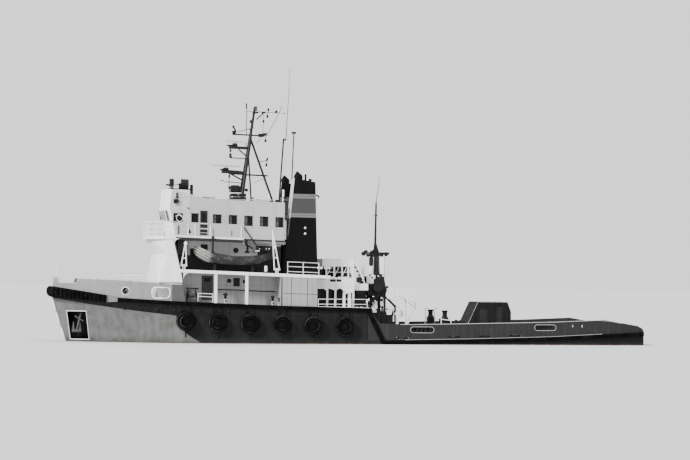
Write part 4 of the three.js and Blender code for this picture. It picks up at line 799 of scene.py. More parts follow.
def skin(node, x, z, side=-1, inside=False):
    """The point on a node at x and z, met from outboard or from inside, and its outward direction"""
    if node not in TREES:
        shape = frame["nodes"][node].data
        corners = [vert.co for vert in shape.vertices]
        faces = [tuple(face.vertices) for face in shape.polygons]
        TREES[node] = BVHTree.FromPolygons(corners, faces)
    start = Vector((x, 0.05 * side if inside else side * SEARCH_FROM, z))
    place, out = TREES[node].ray_cast(start, Vector((0, side if inside else -side, 0)))[:2]
    if place is None:
        return Vector((x, side * 0.1, z)), Vector((0, side, 0))
    return place, out if out.y * side > 0 else -out


def table(rows, x):
    """The value at x in rows of (x, value), in straight lines between them"""
    for (x0, v0), (x1, v1) in zip(rows, rows[1:]):
        if x <= x1:
            return v0 + (v1 - v0) * (x - x0) / (x1 - x0)
    return rows[-1][1]


def spaced(start, end, count):
    """Evenly spaced values, both ends among them"""
    return [start + (end - start) * k / (count - 1) for k in range(count)]

# %% [markdown]
# A bulwark is thin plate, so its top edge carries a rounded cap that keeps ropes from chafing, and inside
# it triangular stays stand on the deck. The cap could be a bevelled curve. Short round bars from point to
# point follow the plate's own edge as well, down and up again at the low part by the stem.

# %% Bulwark cap and stays
# Height of the deck's edge, and of the bulwark's top, as (x, z)
SHEER = [(-11.76, 2.2), (-9.7, 1.875), (-9.258, 1.771), (-6.685, 1.636), (-2.96, 1.512), (0.646, 1.439)]
FORE_RAIL = [
    (-11.75, 2.562), (-11.57, 2.556), (-11.53, 2.33), (-10.85, 2.33), (-10.806, 2.518), (-9.258, 2.462),
    (-7.8, 2.372), (-6.803, 2.315),
]
CAP_RADIUS = 0.026
STAY_THICK, STAY_FOOT, STAY_HEAD = 0.012, 0.24, 0.03

cap = Piece()
stations = sorted({x for x, _ in FORE_RAIL} | set(spaced(-11.2, -6.9, 15)))
edge = [skin("bulwark_fore", x, table(FORE_RAIL, x) - 0.02)[0] + Vector((0, 0.015, 0.02)) for x in stations]
cap.run(edge, CAP_RADIUS, 8)
cap.bar(edge[0], edge[0] * Vector((1, -1, 1)), CAP_RADIUS)
cap.done("bulwark_cap", "light_grey_paint", mirrored=True, smooth=True)

stays = Piece()
for x in spaced(-11.3, -6.95, 13):
    head = skin("bulwark_fore", x, table(FORE_RAIL, x) - 0.1, inside=True)[0]
    foot = skin("bulwark_fore", x, table(SHEER, x) + 0.04, inside=True)[0]
    corners = [head, foot, foot + Vector((0, STAY_FOOT, 0)), head + Vector((0, STAY_HEAD, 0))]
    stays.plate(corners, (STAY_THICK, 0, 0))
stays.done("bulwark_stays", "light_grey_paint", mirrored=True)

# %% [markdown]
# Mooring lines leave the ship through rounded openings. Each has a rim of thick pipe on the outside,
# painted white. The round one is called a Panama chock, after the canal whose locks ask for it. Its rim is
# a circle of pipe, spun, and the rim of the long slot is pipe laid along its outline.

# %% Chock and mooring opening
CHOCK_X, CHOCK_Z = -8.994, 2.036
CHOCK_RADIUS, RIM_RADIUS = 0.158, 0.014
SLOT_OUTLINE = [
    (-7.975, 1.87), (-7.975, 2.1), (-7.9, 2.19), (-7.36, 2.19), (-7.28, 2.1), (-7.28, 1.87), (-7.36, 1.77),
    (-7.9, 1.77),
]
SLOT_MIDDLE_X, ABOVE_SLOT_Z = -7.6, 2.26

rims = Piece()
ahead, out = skin("bulwark_fore", -9.16, CHOCK_Z)
astern = skin("bulwark_fore", -8.8, CHOCK_Z)[0]
chock = Vector((CHOCK_X, astern.y / 2 + ahead.y / 2, CHOCK_Z))
rims.ring(chock, out, CHOCK_RADIUS, RIM_RADIUS, 24)
points = []
for x, z in SLOT_OUTLINE:
    beside = x + (0.04 if x > SLOT_MIDDLE_X else -0.04)
    points.append(Vector((x, skin("bulwark_fore", beside, ABOVE_SLOT_Z)[0].y - 0.012, z)))
rims.run(points + points[:1], CAP_RADIUS, 8)
rims.done("chock_rims", "white_paint", mirrored=True, smooth=True)

# The throat is a short pipe, black: painted shade inside the chock.
throat = Piece()
pipe = [(0.132, 0), (0.146, 0), (0.146, -0.22), (0.132, -0.22), (0.132, 0)]
throat.turned(chock - out * 0.06, out, pipe, 24)
throat.done("chock_throats", "black_steel", mirrored=True)

# %% [markdown]
# The stem is closed by a steel bar that takes knocks. The anchor stows in a box cut into the bow, with a
# flanged edge round it. Both lie on curved plating, so their lines are cut into short bars that follow it.

# %% Stem bar and pocket edge
STEM = [(-11.2, 0, -0.05), (-11.4, 0, 0.55), (-11.59, 0, 1.15), (-11.76, 0, 1.74)]
POCKET = [(-11.21, 1.225), (-10.46, 1.225), (-10.3, 0.09), (-11.03, 0.09)]
BARS_A_SIDE = 4

stem = Piece()
stem.run(STEM, 0.034, 10)
stem.done("stem_bar", "white_paint", smooth=True)

border = Piece()
line = []
for (x0, z0), (x1, z1) in zip(POCKET, POCKET[1:] + POCKET[:1]):
    for k in range(BARS_A_SIDE):
        x, z = x0 + (x1 - x0) * k / BARS_A_SIDE, z0 + (z1 - z0) * k / BARS_A_SIDE
        line.append(skin("hull", x, z)[0] + Vector((0, -0.008, 0)))
border.run(line + line[:1], 0.015, 6)
border.done("pocket_edge", "white_paint", mirrored=True)

# %% [markdown]
# Water from the deck runs out through round scuppers under the fender. Holes would have to be cut in the
# solid. From outside, a black disc in a thin ring looks the same: the disc is painted shade where the hole
# would be.

# %% Scuppers
SCUPPER_RADIUS = 0.05
BOW_SCUPPERS = [(-9.024, 1.355), (-8.358, 1.34), (-7.73, 1.324)]
side_scuppers = [(x, table(SHEER, x) - 0.335) for x in spaced(-7.06, 0.2, 13)]

scuppers = Piece()
for x, z in BOW_SCUPPERS + side_scuppers:
    place, out = skin("hull", x, z)
    # Black disc: painted shade in place of the hole.
    scuppers.disc(place, out, SCUPPER_RADIUS, 0.02, 12)
    scuppers.ring(place + out * 0.008, out, SCUPPER_RADIUS, 0.012, 12, 6)
scuppers.done("scuppers", "black_steel", mirrored=True)

# %% [markdown]
# On the foredeck, two chains run from the windlass to the hawse pipes. A chain alternates flat and upright
# links. A link could be a swept curve. A small ring, stretched, looks the same and takes one spin.

# %% Anchor chains
LINK_RADIUS = 0.034
CHAIN_LINE = [(-9.98, -0.3, 2.33), (-10.2, -0.36, 2.3), (-10.46, -0.42, 2.06)]
LINK_STRETCH = Matrix.Diagonal((1.5, 0.9, 0.9, 1))


def link(piece, centre, heading, turn, size):
    """One stretched link of a chain"""
    before = len(piece.mesh.verts)
    piece.ring((0, 0, 0), UP, size, size * 0.32, 8, 5)
    piece.mesh.verts.ensure_lookup_table()
    place = Matrix.Translation(centre) @ heading @ Matrix.Rotation(turn, 4, "X") @ LINK_STRETCH
    bmesh.ops.transform(piece.mesh, matrix=place, verts=piece.mesh.verts[before:])


def chain(piece, points, size):
    """Links along a line of points, each a quarter turn from the last"""
    pitch = size * 2.1
    count = 0
    for start, end in zip(points, points[1:]):
        start, end = Vector(start), Vector(end)
        heading = (end - start).to_track_quat("X", "Z").to_matrix().to_4x4()
        for k in range(max(1, round((end - start).length / pitch))):
            at = start + (end - start).normalized() * pitch * (k + 0.5)
            link(piece, at, heading, (count % 2) * math.pi / 2, size)
            count += 1


cables = Piece()
chain(cables, CHAIN_LINE, LINK_RADIUS)
cables.done("anchor_cables", "black_steel", mirrored=True, smooth=True)

# %% [markdown]
# Pairs of bitts hold the mooring lines, and mushroom vents air the store below. Both are turned shapes:
# half of their outline is drawn once and spun. The hatch between them is a block with a bent grab rail.

# %% Bitts, vents and hatch
def bitts(piece, x, y, z, along=True, height=0.3, radius=0.062):
    """Two bollards on one base"""
    reach_x, reach_y = (0.2, 0) if along else (0, 0.2)
    half_x, half_y = 0.1 + reach_x, 0.1 + reach_y
    piece.block((x - half_x, x + half_x), (y - half_y, y + half_y), (z - 0.02, z + 0.03), 0.01)
    outline = [
        (0, 0), (radius, 0), (radius, height - 0.03), (radius * 1.3, height - 0.02), (radius * 1.3, height),
        (0, height + 0.01),
    ]
    for sign in (-1, 1):
        piece.turned((x + sign * reach_x, y + sign * reach_y, z), UP, outline, 14)


def vent(piece, x, y, z, height, radius):
    """A mushroom vent"""
    brim = radius * 1.9
    outline = [
        (0, 0), (radius, 0), (radius, height * 0.6), (brim, height * 0.66), (brim, height * 0.8),
        (radius * 1.1, height), (0, height),
    ]
    piece.turned((x, y, z), UP, outline, 14)


hawse = Piece()
hawse.ring((-10.5, -0.43, 2.03), (-0.4, 0.1, 0.9), 0.1, 0.03, 16)
bitts(hawse, -8.75, -1.45, 1.73)
bitts(hawse, -10.75, -0.62, 2.06, along=False, height=0.24, radius=0.05)
hawse.done("foredeck_bitts", "black_steel", mirrored=True, smooth=True)

deck_gear = Piece()
for x, y in ((-8.35, -0.55), (-8.35, 0.55), (-9.1, 0.9)):
    vent(deck_gear, x, y, table(SHEER, x) - 0.02, 0.42, 0.06)
deck_gear.block((-9.15, -8.65), (-0.3, 0.3), (1.72, 1.93), 0.02)
deck_gear.run([(-9.05, -0.12, 1.93), (-9.05, -0.12, 1.97), (-9.05, 0.12, 1.97), (-9.05, 0.12, 1.93)], 0.012)
deck_gear.done("foredeck_hatch", "light_grey_paint")

# %% [markdown]
# Mooring ropes lie coiled on the deck. A coil could be one long spiral, but from any distance a stack of
# rings, in and out by turns, can't be told from it. Above the bulwark stand a rail of bent pipe and the
# jackstaff.

# %% Coiled ropes, pipe rail and jackstaff
ROPE_TURNS = 5
ROPE_RADIUS = 0.019
ROPE_RISE = 0.028
PIPE_RAIL = [(-9.02, 2.44), (-9.02, 2.645), (-8.12, 2.645), (-8.12, 2.39)]
JACKSTAFF_TOP = (-11.58, 0, 3.09)

coil = Piece()
for k in range(ROPE_TURNS):
    rise, inner = ROPE_RISE * k, k % 2
    coil.ring((-8.55, -1.95, 1.75 + rise), UP, 0.17 - 0.012 * inner, ROPE_RADIUS, 22, 6)
    coil.ring((-9.75, 1.25, 1.9 + rise), (0.1, 0, 1), 0.15 + 0.01 * inner, ROPE_RADIUS, 22, 6)
coil.done("mooring_ropes", "rope", smooth=True)

rail = Piece()
rail.run([(x, skin("bulwark_fore", x, 2.35)[0].y + 0.02, z) for x, z in PIPE_RAIL], 0.019, 8)
rail.done("pipe_rail", "white_paint", mirrored=True, smooth=True)

staff = Piece()
staff.bar((-11.6, 0, 2.2), JACKSTAFF_TOP, 0.017, 8, 0.011).ball(JACKSTAFF_TOP, 0.02)
staff.bar((-11.59, 0, 2.9), (-11.28, 0, 2.2), 0.008)
staff.done("jackstaff", "white_paint", smooth=True)

# %% [markdown]
# Under water the hull carries a bilge keel along each turn of the bilge, which damps rolling, and blocks of
# zinc that corrode in place of the steel. Skin finds the curved side for both.

# %% Bilge keels and anodes
KEEL_X, KEEL_Z = (-4.2, 3.4), -1.66
STERN_ANODES = [(7.2, -0.85), (8.3, -0.6), (9.3, -0.35)]

keels = Piece()
low = [skin("hull", x, KEEL_Z)[0] for x in spaced(*KEEL_X, 9)]
reach, inward = Vector((0, -0.1, -0.1)), Vector((0, 0.03, 0.03))
for start, end in zip(low, low[1:]):
    keels.plate([start + inward, end + inward, end + reach, start + reach], (0, -0.012, 0.012))
keels.done("bilge_keels", "antifouling", mirrored=True)

zincs = Piece()
for x, z in [(x, -1.0) for x in spaced(-6.5, 5.5, 7)] + STERN_ANODES:
    place = skin("hull", x, z)[0]
    heading = (skin("hull", x + 0.15, z)[0] - place).normalized() * 0.15
    zincs.beam(place - heading, place + heading, 0.07, 0.05)
zincs.done("anodes", "worn_steel", mirrored=True)

# %% [markdown]
# The wheelhouse windows are panes set in steel frames. The openings and the glass are in the solid model;
# here each gets a frame, slightly proud of the wall, and an eyebrow above that throws rain clear. All
# heights on the houses are drawn level and then sheared to the slope of the decks.

# %% Wheelhouse windows
WHEELHOUSE_HALF = 2.3
SILL_Z, HEAD_Z = 4.69, 5.06
WINDOWS = [
    (-6.411, -6.154), (-5.555, -5.245), (-4.93, -4.62), (-4.305, -3.995), (-3.68, -3.37), (-3.06, -2.765),
]
CORNER_X, CORNER_WIDTH, CORNER_ALONG = -6.93, 0.4, (0.737, -0.25, 0)
FRAME_BAR, FRAME_PROUD = 0.012, 0.016

frames = Piece()
eyebrows = Piece()
middle_z = (SILL_Z + HEAD_Z) / 2
window_height = HEAD_Z - SILL_Z
for x0, x1 in WINDOWS:
    centre = ((x0 + x1) / 2, -WHEELHOUSE_HALF - 0.003, middle_z)
    frames.frame(centre, AFT, UP, x1 - x0, window_height, FRAME_BAR, FRAME_PROUD)
    eyebrow_y = (-WHEELHOUSE_HALF - 0.03, -WHEELHOUSE_HALF)
    eyebrows.block((x0 - 0.02, x1 + 0.02), eyebrow_y, (HEAD_Z + 0.024, HEAD_Z + 0.034))
corner_y = skin("wheelhouse_side_port", CORNER_X, 4.6)[0].y
centre = (CORNER_X, corner_y - 0.003, middle_z)
frames.frame(centre, CORNER_ALONG, UP, CORNER_WIDTH, window_height, 0.014, FRAME_PROUD)
frames.done("window_frames", "black_steel", sloped=True, mirrored=True)
eyebrows.done("window_eyebrows", "light_grey_paint", sloped=True, mirrored=True)

# %% [markdown]
# The first side window holds a clear-view screen: a glass disc in a ring that spins fast and throws the
# rain off. Five windows look forward over the bow, each with a wiper. The front rakes and bends back at its
# ends, so the corners of each frame are worked out from two short tables.

# %% Clear-view screen, front windows and wipers
FRONT_SILL_Z, FRONT_HEAD_Z = 4.72, 5.17
FRONT_WINDOWS = [(y + 0.06, y + 0.64) for y in (-1.85, -1.15, -0.45, 0.25, 0.95)]
FRONT_RAKE = [(4.12, -7.135), (4.525, -7.245), (4.972, -7.36), (5.247, -7.435)]
FRONT_BEND = [(0, 0), (0.9, 0), (2.05, 0.125)]

screen = Piece()
screen.ring((-6.87, corner_y - 0.035, 4.86), (0.32, 1, 0), 0.13, 0.011, 24)
arm = [(-7.03, corner_y - 0.02, 4.93), (-6.9, corner_y - 0.035, 5.03), (-6.76, corner_y - 0.05, 4.87)]
screen.run(arm, 0.009)
screen.done("clear_view_screen", "white_paint", sloped=True, mirrored=True, smooth=True)


def front_corner(y, z):
    """The point on the wheelhouse front at y and z, a little proud of it"""
    return Vector((table(FRONT_RAKE, z) + table(FRONT_BEND, abs(y)) - 0.004, y, z))


front = Piece()
wipers = Piece()
for y0, y1 in FRONT_WINDOWS:
    corners = [
        front_corner(y0, FRONT_SILL_Z), front_corner(y1, FRONT_SILL_Z), front_corner(y1, FRONT_HEAD_Z),
        front_corner(y0, FRONT_HEAD_Z),
    ]
    for start, end in zip(corners, corners[1:] + corners[:1]):
        front.beam(start, end, 0.022, 0.022)
    pivot = (corners[2] + corners[3]) / 2
    wipers.bar(pivot + Vector((-0.03, 0, 0.03)), pivot + Vector((0.02, 0.1, -0.3)), 0.006)
    wipers.bar(pivot + Vector((0.035, 0.1, -0.14)), pivot + Vector((0.055, 0.1, -0.38)), 0.008)
front.done("front_window_frames", "white_paint", sloped=True)
wipers.done("wipers", "black_steel", sloped=True)

# %% [markdown]
# Portholes are heavy glass discs in bolted rings. A short table places them on each wall, with the square
# windows. Skin finds the wall, so the same call works on the upper and the lower house.

# %% Portholes and square windows of the deckhouses
PORTHOLES = [
    # node, x, z, radius
    ("deckhouse_upper", -4.586, 3.69, 0.1),
    ("deckhouse_main", -4.873, 2.475, 0.09),
    ("deckhouse_main", -4.244, 2.455, 0.09),
]
SQUARES = [
    # node, x from, x to, z from, z to
    ("deckhouse_upper", -5.96, -5.74, 3.69, 3.88),
    ("deckhouse_main", -4.68, -4.48, 2.285, 2.56),
]
BOLTS = 6

rims = Piece()
borders = Piece()
panes = Piece()
for node, x, z, radius in PORTHOLES:
    place, out = skin(node, x, z)
    rims.ring(place + out * 0.006, out, radius + 0.01, 0.011, 22)
    panes.disc(place + out * 0.004, out, radius + 0.004, 0.014, 22)
    for k in range(BOLTS):
        angle = 2 * math.pi * k / BOLTS
        spot = place + Vector((math.cos(angle), 0, math.sin(angle))) * (radius + 0.012) + out * 0.018
        rims.disc(spot, out, 0.006, 0.012, 6)
for node, x0, x1, z0, z1 in SQUARES:
    place, out = skin(node, (x0 + x1) / 2, (z0 + z1) / 2)
    borders.frame(place + out * 0.004, AFT, UP, x1 - x0, z1 - z0, 0.03, 0.02)
    panes.block((x0 - 0.004, x1 + 0.004), (place.y - 0.006, place.y + 0.01), (z0 - 0.004, z1 + 0.004))
rims.done("porthole_rims", "light_grey_paint", mirrored=True)
borders.done("window_borders", "black_steel", mirrored=True)
panes.done("porthole_panes", "window_glass", mirrored=True)

# %% [markdown]
# The doors are steel leaves with a round or tall pane, hinges on one edge and a handle on the other. A
# frame is fixed to the house. Pane, hinges and handle ride on the leaf, so that they swing with it.

# %% Door fittings
PANE_HEIGHTS = {"bridge_door": 0.36, "deck_door": 0.14}
LEAF_GAP = 0.006
HINGES = 3


def door_fittings(name, side, x, z, wall, pane_height):
    """Frame on the house; pane, handle and hinges on the leaf"""
    (x0, x1), (z0, z1) = x, z
    middle_x, latch_z, width = (x0 + x1) / 2, (z0 + z1) / 2, x1 - x0
    face = side * wall + side * 0.001
    top, latch_x, hinge_x = z1 - 0.1, x0 + 0.04, x1 - 0.03

    casing = Piece()
    casing.frame((middle_x, side * (wall + 0.006), latch_z), AFT, UP, width, z1 - z0, 0.016, 0.014)
    casing.done(f"{name}_frame", "light_grey_paint", sloped=True)

    pane = Piece()
    pane_x = (x0 + width * 0.24, x1 - width * 0.24)
    pane.block(pane_x, (face - 0.004, face + 0.004), (top - pane_height, top), 0.003)
    pane.done(f"{name}_pane", "window_glass", body=name, sloped=True)

    trim = Piece()
    trim.frame((middle_x, face, top - pane_height / 2), AFT, UP, width * 0.5, pane_height, 0.01, 0.014)
    for z in spaced(z0 + 0.12, z1 - 0.12, HINGES):
        trim.bar((hinge_x, face, z - 0.03), (hinge_x, face, z + 0.03), 0.009, 8)
    grip_y = face + side * 0.025
    trim.bar((latch_x, face, latch_z), (latch_x, grip_y, latch_z), 0.01, 8)
    trim.bar((latch_x, grip_y, latch_z), (latch_x + 0.08, grip_y, latch_z - 0.02), 0.008, 8)
    trim.done(f"{name}_trim", "black_steel", body=name, sloped=True)


for kind, pane_height in PANE_HEIGHTS.items():
    for side_name, side in SIDES.items():
        body = f"{kind}_{side_name}"
        low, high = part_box(body)
        lift = ((low[0] + high[0]) / 2 - SLOPE_ORIGIN) * DECK_SLOPE
        wall = max(abs(low[1]), abs(high[1])) + 0.002
        x, z = (low[0] - LEAF_GAP, high[0] + LEAF_GAP), (low[2] + lift, high[2] + lift)
        door_fittings(body, side, x, z, wall, pane_height)

# %% [markdown]
# The wings of the bridge have a plate bulwark, stiffened by upright ribs and topped by a rail. Pipes run
# down beside it. The rail is a bar laid on the plate's edge, and the ribs are blocks that sink a little
# into it.

# %% Ribs and rails of the bridge wings
WING_TOP = BRIDGE_DECK + 0.56
WING_Y = -2.87
WING_START, WING_END = -7.06, -4.39
RAIL_RADIUS = 0.016

wing = Piece()
rib_z = (BRIDGE_DECK + 0.04, WING_TOP - 0.03)
for x in (-6.6, -6.32, -5.725, -4.5):
    wing.block((x - 0.018, x + 0.018), (WING_Y - 0.025, WING_Y + 0.005), rib_z)
for z in (4.46, 4.66):
    wing.bar((-6.14, WING_Y - 0.01, z), (-5.81, WING_Y - 0.01, z), 0.008, 8)
edge_z = (BRIDGE_DECK, BRIDGE_DECK + 0.045)
wing.block((WING_START, WING_END), (WING_Y - 0.012, WING_Y + 0.005), edge_z, 0.004)
wing.done("wing_ribs", "white_paint", sloped=True, mirrored=True)

caps = Piece()
rail_y = WING_Y + 0.01
caps.bar((WING_START - 0.01, rail_y, WING_TOP), (WING_END, rail_y, WING_TOP), RAIL_RADIUS, 8)
caps.bar((-7.08, rail_y, WING_TOP + 0.01), (-7.56, -2.84, WING_TOP + 0.04), RAIL_RADIUS, 8)
caps.bar((-2.66, -2.33, 4.2), (-2.655, -2.33, 5.0), 0.02, 8)
caps.bar((-2.7, -2.33, 4.2), (-2.695, -2.33, 4.98), 0.014, 8)
caps.done("wing_caps", "light_grey_paint", sloped=True, mirrored=True)

# %% [markdown]
# Near its forward end the wing has a slot that lets the crew see down the side, and a fairlead sits low in
# the plate. Cut into so thin a plate they would be hard to see, so black blocks and discs on its face stand
# for them: painted shade where the openings would be. Dark pipes and brackets are fixed below the wing and
# along the wall.

# %% Slots and pipes of the bridge wings
PLATE_Y = (WING_Y - 0.012, WING_Y)
FACE_Y = WING_Y - 0.018
FAIRLEAD = [(0, -0.012), (0.062, -0.01), (0.062, 0.01), (0, 0.012)]

slots = Piece()
# Black block and disc: painted shade for the slot and the fairlead's opening.
slots.block((-6.995, -6.948), (FACE_Y, WING_Y), (4.3, 4.63), 0.008)
slots.turned((-6.55, WING_Y - 0.006, 4.385), ATHWART, FAIRLEAD, 14)
slots.plate([(x, FACE_Y, z) for x, z in ((-6.6, 4.4), (-6.57, 4.53), (-6.5, 4.4))], (0, 0.018, 0))
slots.block((-5.62, -5.6), PLATE_Y, (4.2, 4.5))
slots.block((-4.89, -4.865), PLATE_Y, (4.24, 4.45))
slots.bar((-5.622, -2.908, 3.61), (-5.622, -2.908, 4.2), 0.042, 10)
slots.block((-5.67, -5.575), (-2.935, -2.86), (4.14, 4.22))
slots.block((-5.66, -5.585), (-2.9, -2.3), (3.6, 3.66))
slots.bar((-2.66, -2.35, 4.9), (-2.66, -2.35, 5.02), 0.045, 10)
slots.bar((-4.38, -2.32, 4.125), (-2.7, -2.32, 4.07), 0.02, 8)
slots.done("wing_slots", "black_steel", mirrored=True)

# %% [markdown]
# The side light is a lamp in a box whose inner side is a long screen, so that it shows only ahead and
# abeam. Above it is the bracket of an aerial, and further aft a round lamp. The lenses are pieces of their
# own, because they need glass.

# %% Side lights on the wheelhouse
lights = Piece()
wall_y = skin("wheelhouse_side_port", -7.0, 5.55)[0].y
lights.block((-7.12, -6.93), (wall_y - 0.12, wall_y + 0.03), (5.53, 5.69), 0.008)
lights.block((-7.02, -6.96), (wall_y - 0.05, wall_y), (5.75, 5.95))
lights.block((-7.06, -6.9), (wall_y - 0.03, wall_y), (5.74, 5.77))
lights.done("side_light_boxes", "black_steel", mirrored=True)

lenses = Piece()
lenses.bar((-7.08, wall_y - 0.13, 5.56), (-7.08, wall_y - 0.13, 5.66), 0.035, 12)
lenses.disc((-6.55, -2.31, 5.34), ATHWART, 0.03, 0.05, 12)
lenses.done("side_light_lenses", "window_glass", mirrored=True, smooth=True)

# %% [markdown]
# Where the tower's aft edge meets a deck, a curved gusset spreads the load. It is a plate whose free edge
# is an arc, so its corners come from a sine and a cosine and not from a list.

# %% Gussets at the recess corners
PILLARS_X = (-5.483, -4.255)


def fillet(piece, corner, reach, y, thick, steps=7):
    """A plate that fills a right corner up to an arc; reach holds its signed extent in X and Z"""
    x, z = corner
    outline = [(x, y, z)]
    for k in range(steps + 1):
        turn = k / steps * math.pi / 2
        outline.append((x + reach[0] * (1 - math.sin(turn)), y, z + reach[1] * (1 - math.cos(turn))))
    piece.plate(outline, (0, thick, 0))


gussets = Piece()
fillet(gussets, (-7.13, 4.04), (0.24, -0.2), -2.88, 0.05)
fillet(gussets, (-6.76, 2.71), (0.26, -0.24), -2.86, 0.05)
fillet(gussets, (-4.4, 4.04), (-0.05, -0.12), -2.87, 0.04, 4)
for post_x in PILLARS_X:
    for sign in (-1, 1):
        fillet(gussets, (post_x + sign * 0.05, 2.735), (sign * 0.07, -0.07), -2.84, 0.04, 4)
gussets.done("recess_gussets", "white_paint", sloped=True, mirrored=True)

# %% [markdown]
# In the passage under the boat deck run a storm rail along the wall and guard rails at the ship's side.
# Aft, the side is closed by a screen of welded plates, whose seams are thin raised strips.

# %% Rails and screen of the side passage
STORM_Z = 2.11
GUARD_Y = -2.78
SCREEN_Z = (1.52, 2.68)

passage = Piece()
wall_y = skin("deckhouse_main", -5.2, 2.1)[0].y
for x0, x1 in ((-6.6, -6.1), (-5.5, -3.0)):
    passage.bar((x0, wall_y - 0.05, STORM_Z), (x1, wall_y - 0.05, STORM_Z), 0.017, 8)
for x in (-6.5, -5.4, -4.9, -4.3, -3.7, -3.1):
    passage.bar((x, wall_y, STORM_Z), (x, wall_y - 0.05, STORM_Z), 0.009, 6)
passage.done("storm_rails", "dark_grey_paint", sloped=True, mirrored=True)

guard = Piece()
for z in (1.8, 1.92):
    guard.bar((-6.18, GUARD_Y, z), (-5.58, GUARD_Y, z), 0.012, 8)
for x in (-6.17, -5.59):
    guard.bar((x, GUARD_Y, 1.6), (x, GUARD_Y, 1.93), 0.012, 8)
guard.done("passage_rails", "white_paint", sloped=True, mirrored=True)

seams = Piece()
screen_y = skin("deckhouse_main", -2.0, 2.2)[0].y
strip_y = (screen_y - 0.008, screen_y + 0.004)
seams.bar((-2.87, screen_y - 0.012, 1.56), (-2.87, screen_y - 0.012, SCREEN_Z[1]), 0.016, 8)
for x in (-2.48, -1.84):
    seams.block((x - 0.006, x + 0.006), strip_y, SCREEN_Z)
seams.block((-2.8, -1.42), strip_y, (2.06, 2.075))
seams.done("screen_seams", "dark_grey_paint", sloped=True, mirrored=True)

# %% [markdown]
# A hose reel, short posts and vents stand in the passage. The reel is a drum with flanges, turned from one
# outline, with rings of hose on it and a loose end. Its bearers stand on the deck on both sides.

# %% Hose reel and vents of the side passage
REEL = Vector((-6.4, -2.52, 1.95))
REEL_OUTLINE = [
    (0.03, -0.17), (0.19, -0.17), (0.19, -0.15), (0.08, -0.15), (0.08, 0.15), (0.19, 0.15), (0.19, 0.17),
    (0.03, 0.17),
]
HOSE_TURNS = 9
POST_Y = -2.66

reel = Piece()
reel.turned(REEL, AFT, REEL_OUTLINE, 18)
for sign in (-1, 1):
    x = REEL.x + sign * 0.19
    for foot_y in (-2.4, -2.64):
        reel.beam((x, foot_y, 1.6), (x, REEL.y, 1.96), 0.03)
reel.done("hose_reel", "black_steel", mirrored=True)

hose = Piece()
for k in range(HOSE_TURNS):
    hose.ring((-6.53 + 0.032 * k, REEL.y, REEL.z), AFT, 0.11 + 0.02 * (k % 2), 0.016, 18, 6)
hose.run([(-6.3, -2.62, 1.86), (-6.22, -2.66, 1.72), (-6.12, -2.66, 1.66), (-6.05, -2.62, 1.72)], 0.014)
hose.done("hose", "rope", mirrored=True, smooth=True)

posts = Piece()
heads = Piece()
for x, top, radius in ((-5.08, 0.34, 0.045), (-3.2, 0.32, 0.04), (-2.94, 0.26, 0.03)):
    deck = table(SHEER, x)
    posts.bar((x, POST_Y, deck - 0.01), (x, POST_Y, deck + top * 0.55), radius, 12)
    vent(heads, x, POST_Y, deck + top * 0.5, top * 0.7, radius * 1.1)
    heads.disc((x, POST_Y - radius, deck + top * 0.3), ATHWART, radius * 0.9, 0.04, 10)
posts.done("passage_posts", "white_paint", mirrored=True, smooth=True)
heads.done("passage_vents", "black_steel", mirrored=True, smooth=True)

# %% [markdown]
# A tug shows many lights: for towing, for being unable to manoeuvre, for anchoring. They hang in rows on
# the mast, each one a lantern with a thick lens between a base and a cap. One helper turns a lantern about
# its upright axis. Heights on the mast are measured from the water and are already those of the leaning
# ship.

# %% Lanterns of the mast
LANTERNS = [
    # x, y, z of the foot, radius
    (-3.625, 0, 9.4, 0.075), (-3.105, 0, 9.4, 0.045), (-3.14, 0, 9.12, 0.05), (-3.3, 0, 8.92, 0.045),
    (-3.83, 0, 8.91, 0.045), (-3.19, 0, 8.4, 0.045), (-3.21, 0, 8.13, 0.05), (-4.52, 0, 8.43, 0.06),
    (-4.66, -0.2, 7.7, 0.045), (-4.665, -0.2, 7.49, 0.06), (-3.14, -0.05, 7.38, 0.045),
    (-3.17, -0.05, 7.14, 0.05), (-4.69, -0.1, 6.66, 0.045), (-4.69, -0.1, 6.2, 0.045),
]
LANTERN_SLENDER = 2.4
HANGERS = [
    # points of a rod that a row of lanterns hangs on, its radius
    ([(-3.12, 0, 9.42), (-3.14, 0, 9.16), (-3.14, 0, 9.12)], 0.011),
    ([(-3.19, 0, 8.45), (-3.21, 0, 8.13)], 0.011),
    ([(-3.33, 0, 9.32), (-3.3, 0, 9.02), (-3.33, 0, 8.4)], 0.009),
    ([(-3.83, 0, 8.92), (-3.74, 0, 8.8)], 0.009),
    ([(-4.66, -0.2, 7.86), (-4.665, -0.2, 7.47), (-4.6, -0.2, 7.43)], 0.012),
    ([(-3.46, -0.13, 7.32), (-3.15, -0.05, 7.38), (-3.17, -0.05, 7.14)], 0.014),
    ([(-4.69, -0.1, 6.85), (-4.69, -0.1, 6.2)], 0.014),
    ([(-4.86, -0.1, 6.49), (-4.18, -0.1, 6.45)], 0.016),
]


def lantern(bodies, lenses, place, radius, height):
    """A lens between a base and a cap; place is the middle of its foot"""
    base = [(0, 0), (radius, 0), (radius, height * 0.25), (0, height * 0.25)]
    cap = [(0, height * 0.72), (radius * 1.1, height * 0.72), (radius * 0.7, height), (0, height)]
    inner = radius * 0.8
    glass = [(0, height * 0.2), (inner, height * 0.2), (inner, height * 0.75), (0, height * 0.75)]
    bodies.turned(place, UP, base, 10).turned(place, UP, cap, 10)
    lenses.turned(place, UP, glass, 10)


bodies = Piece()
lenses = Piece()
for x, y, z, radius in LANTERNS:
    lantern(bodies, lenses, (x, y, z), radius, radius * LANTERN_SLENDER)
for points, radius in HANGERS:
    bodies.run(points, radius)
bodies.done("mast_lanterns", "black_steel")
lenses.done("mast_lenses", "window_glass", smooth=True)

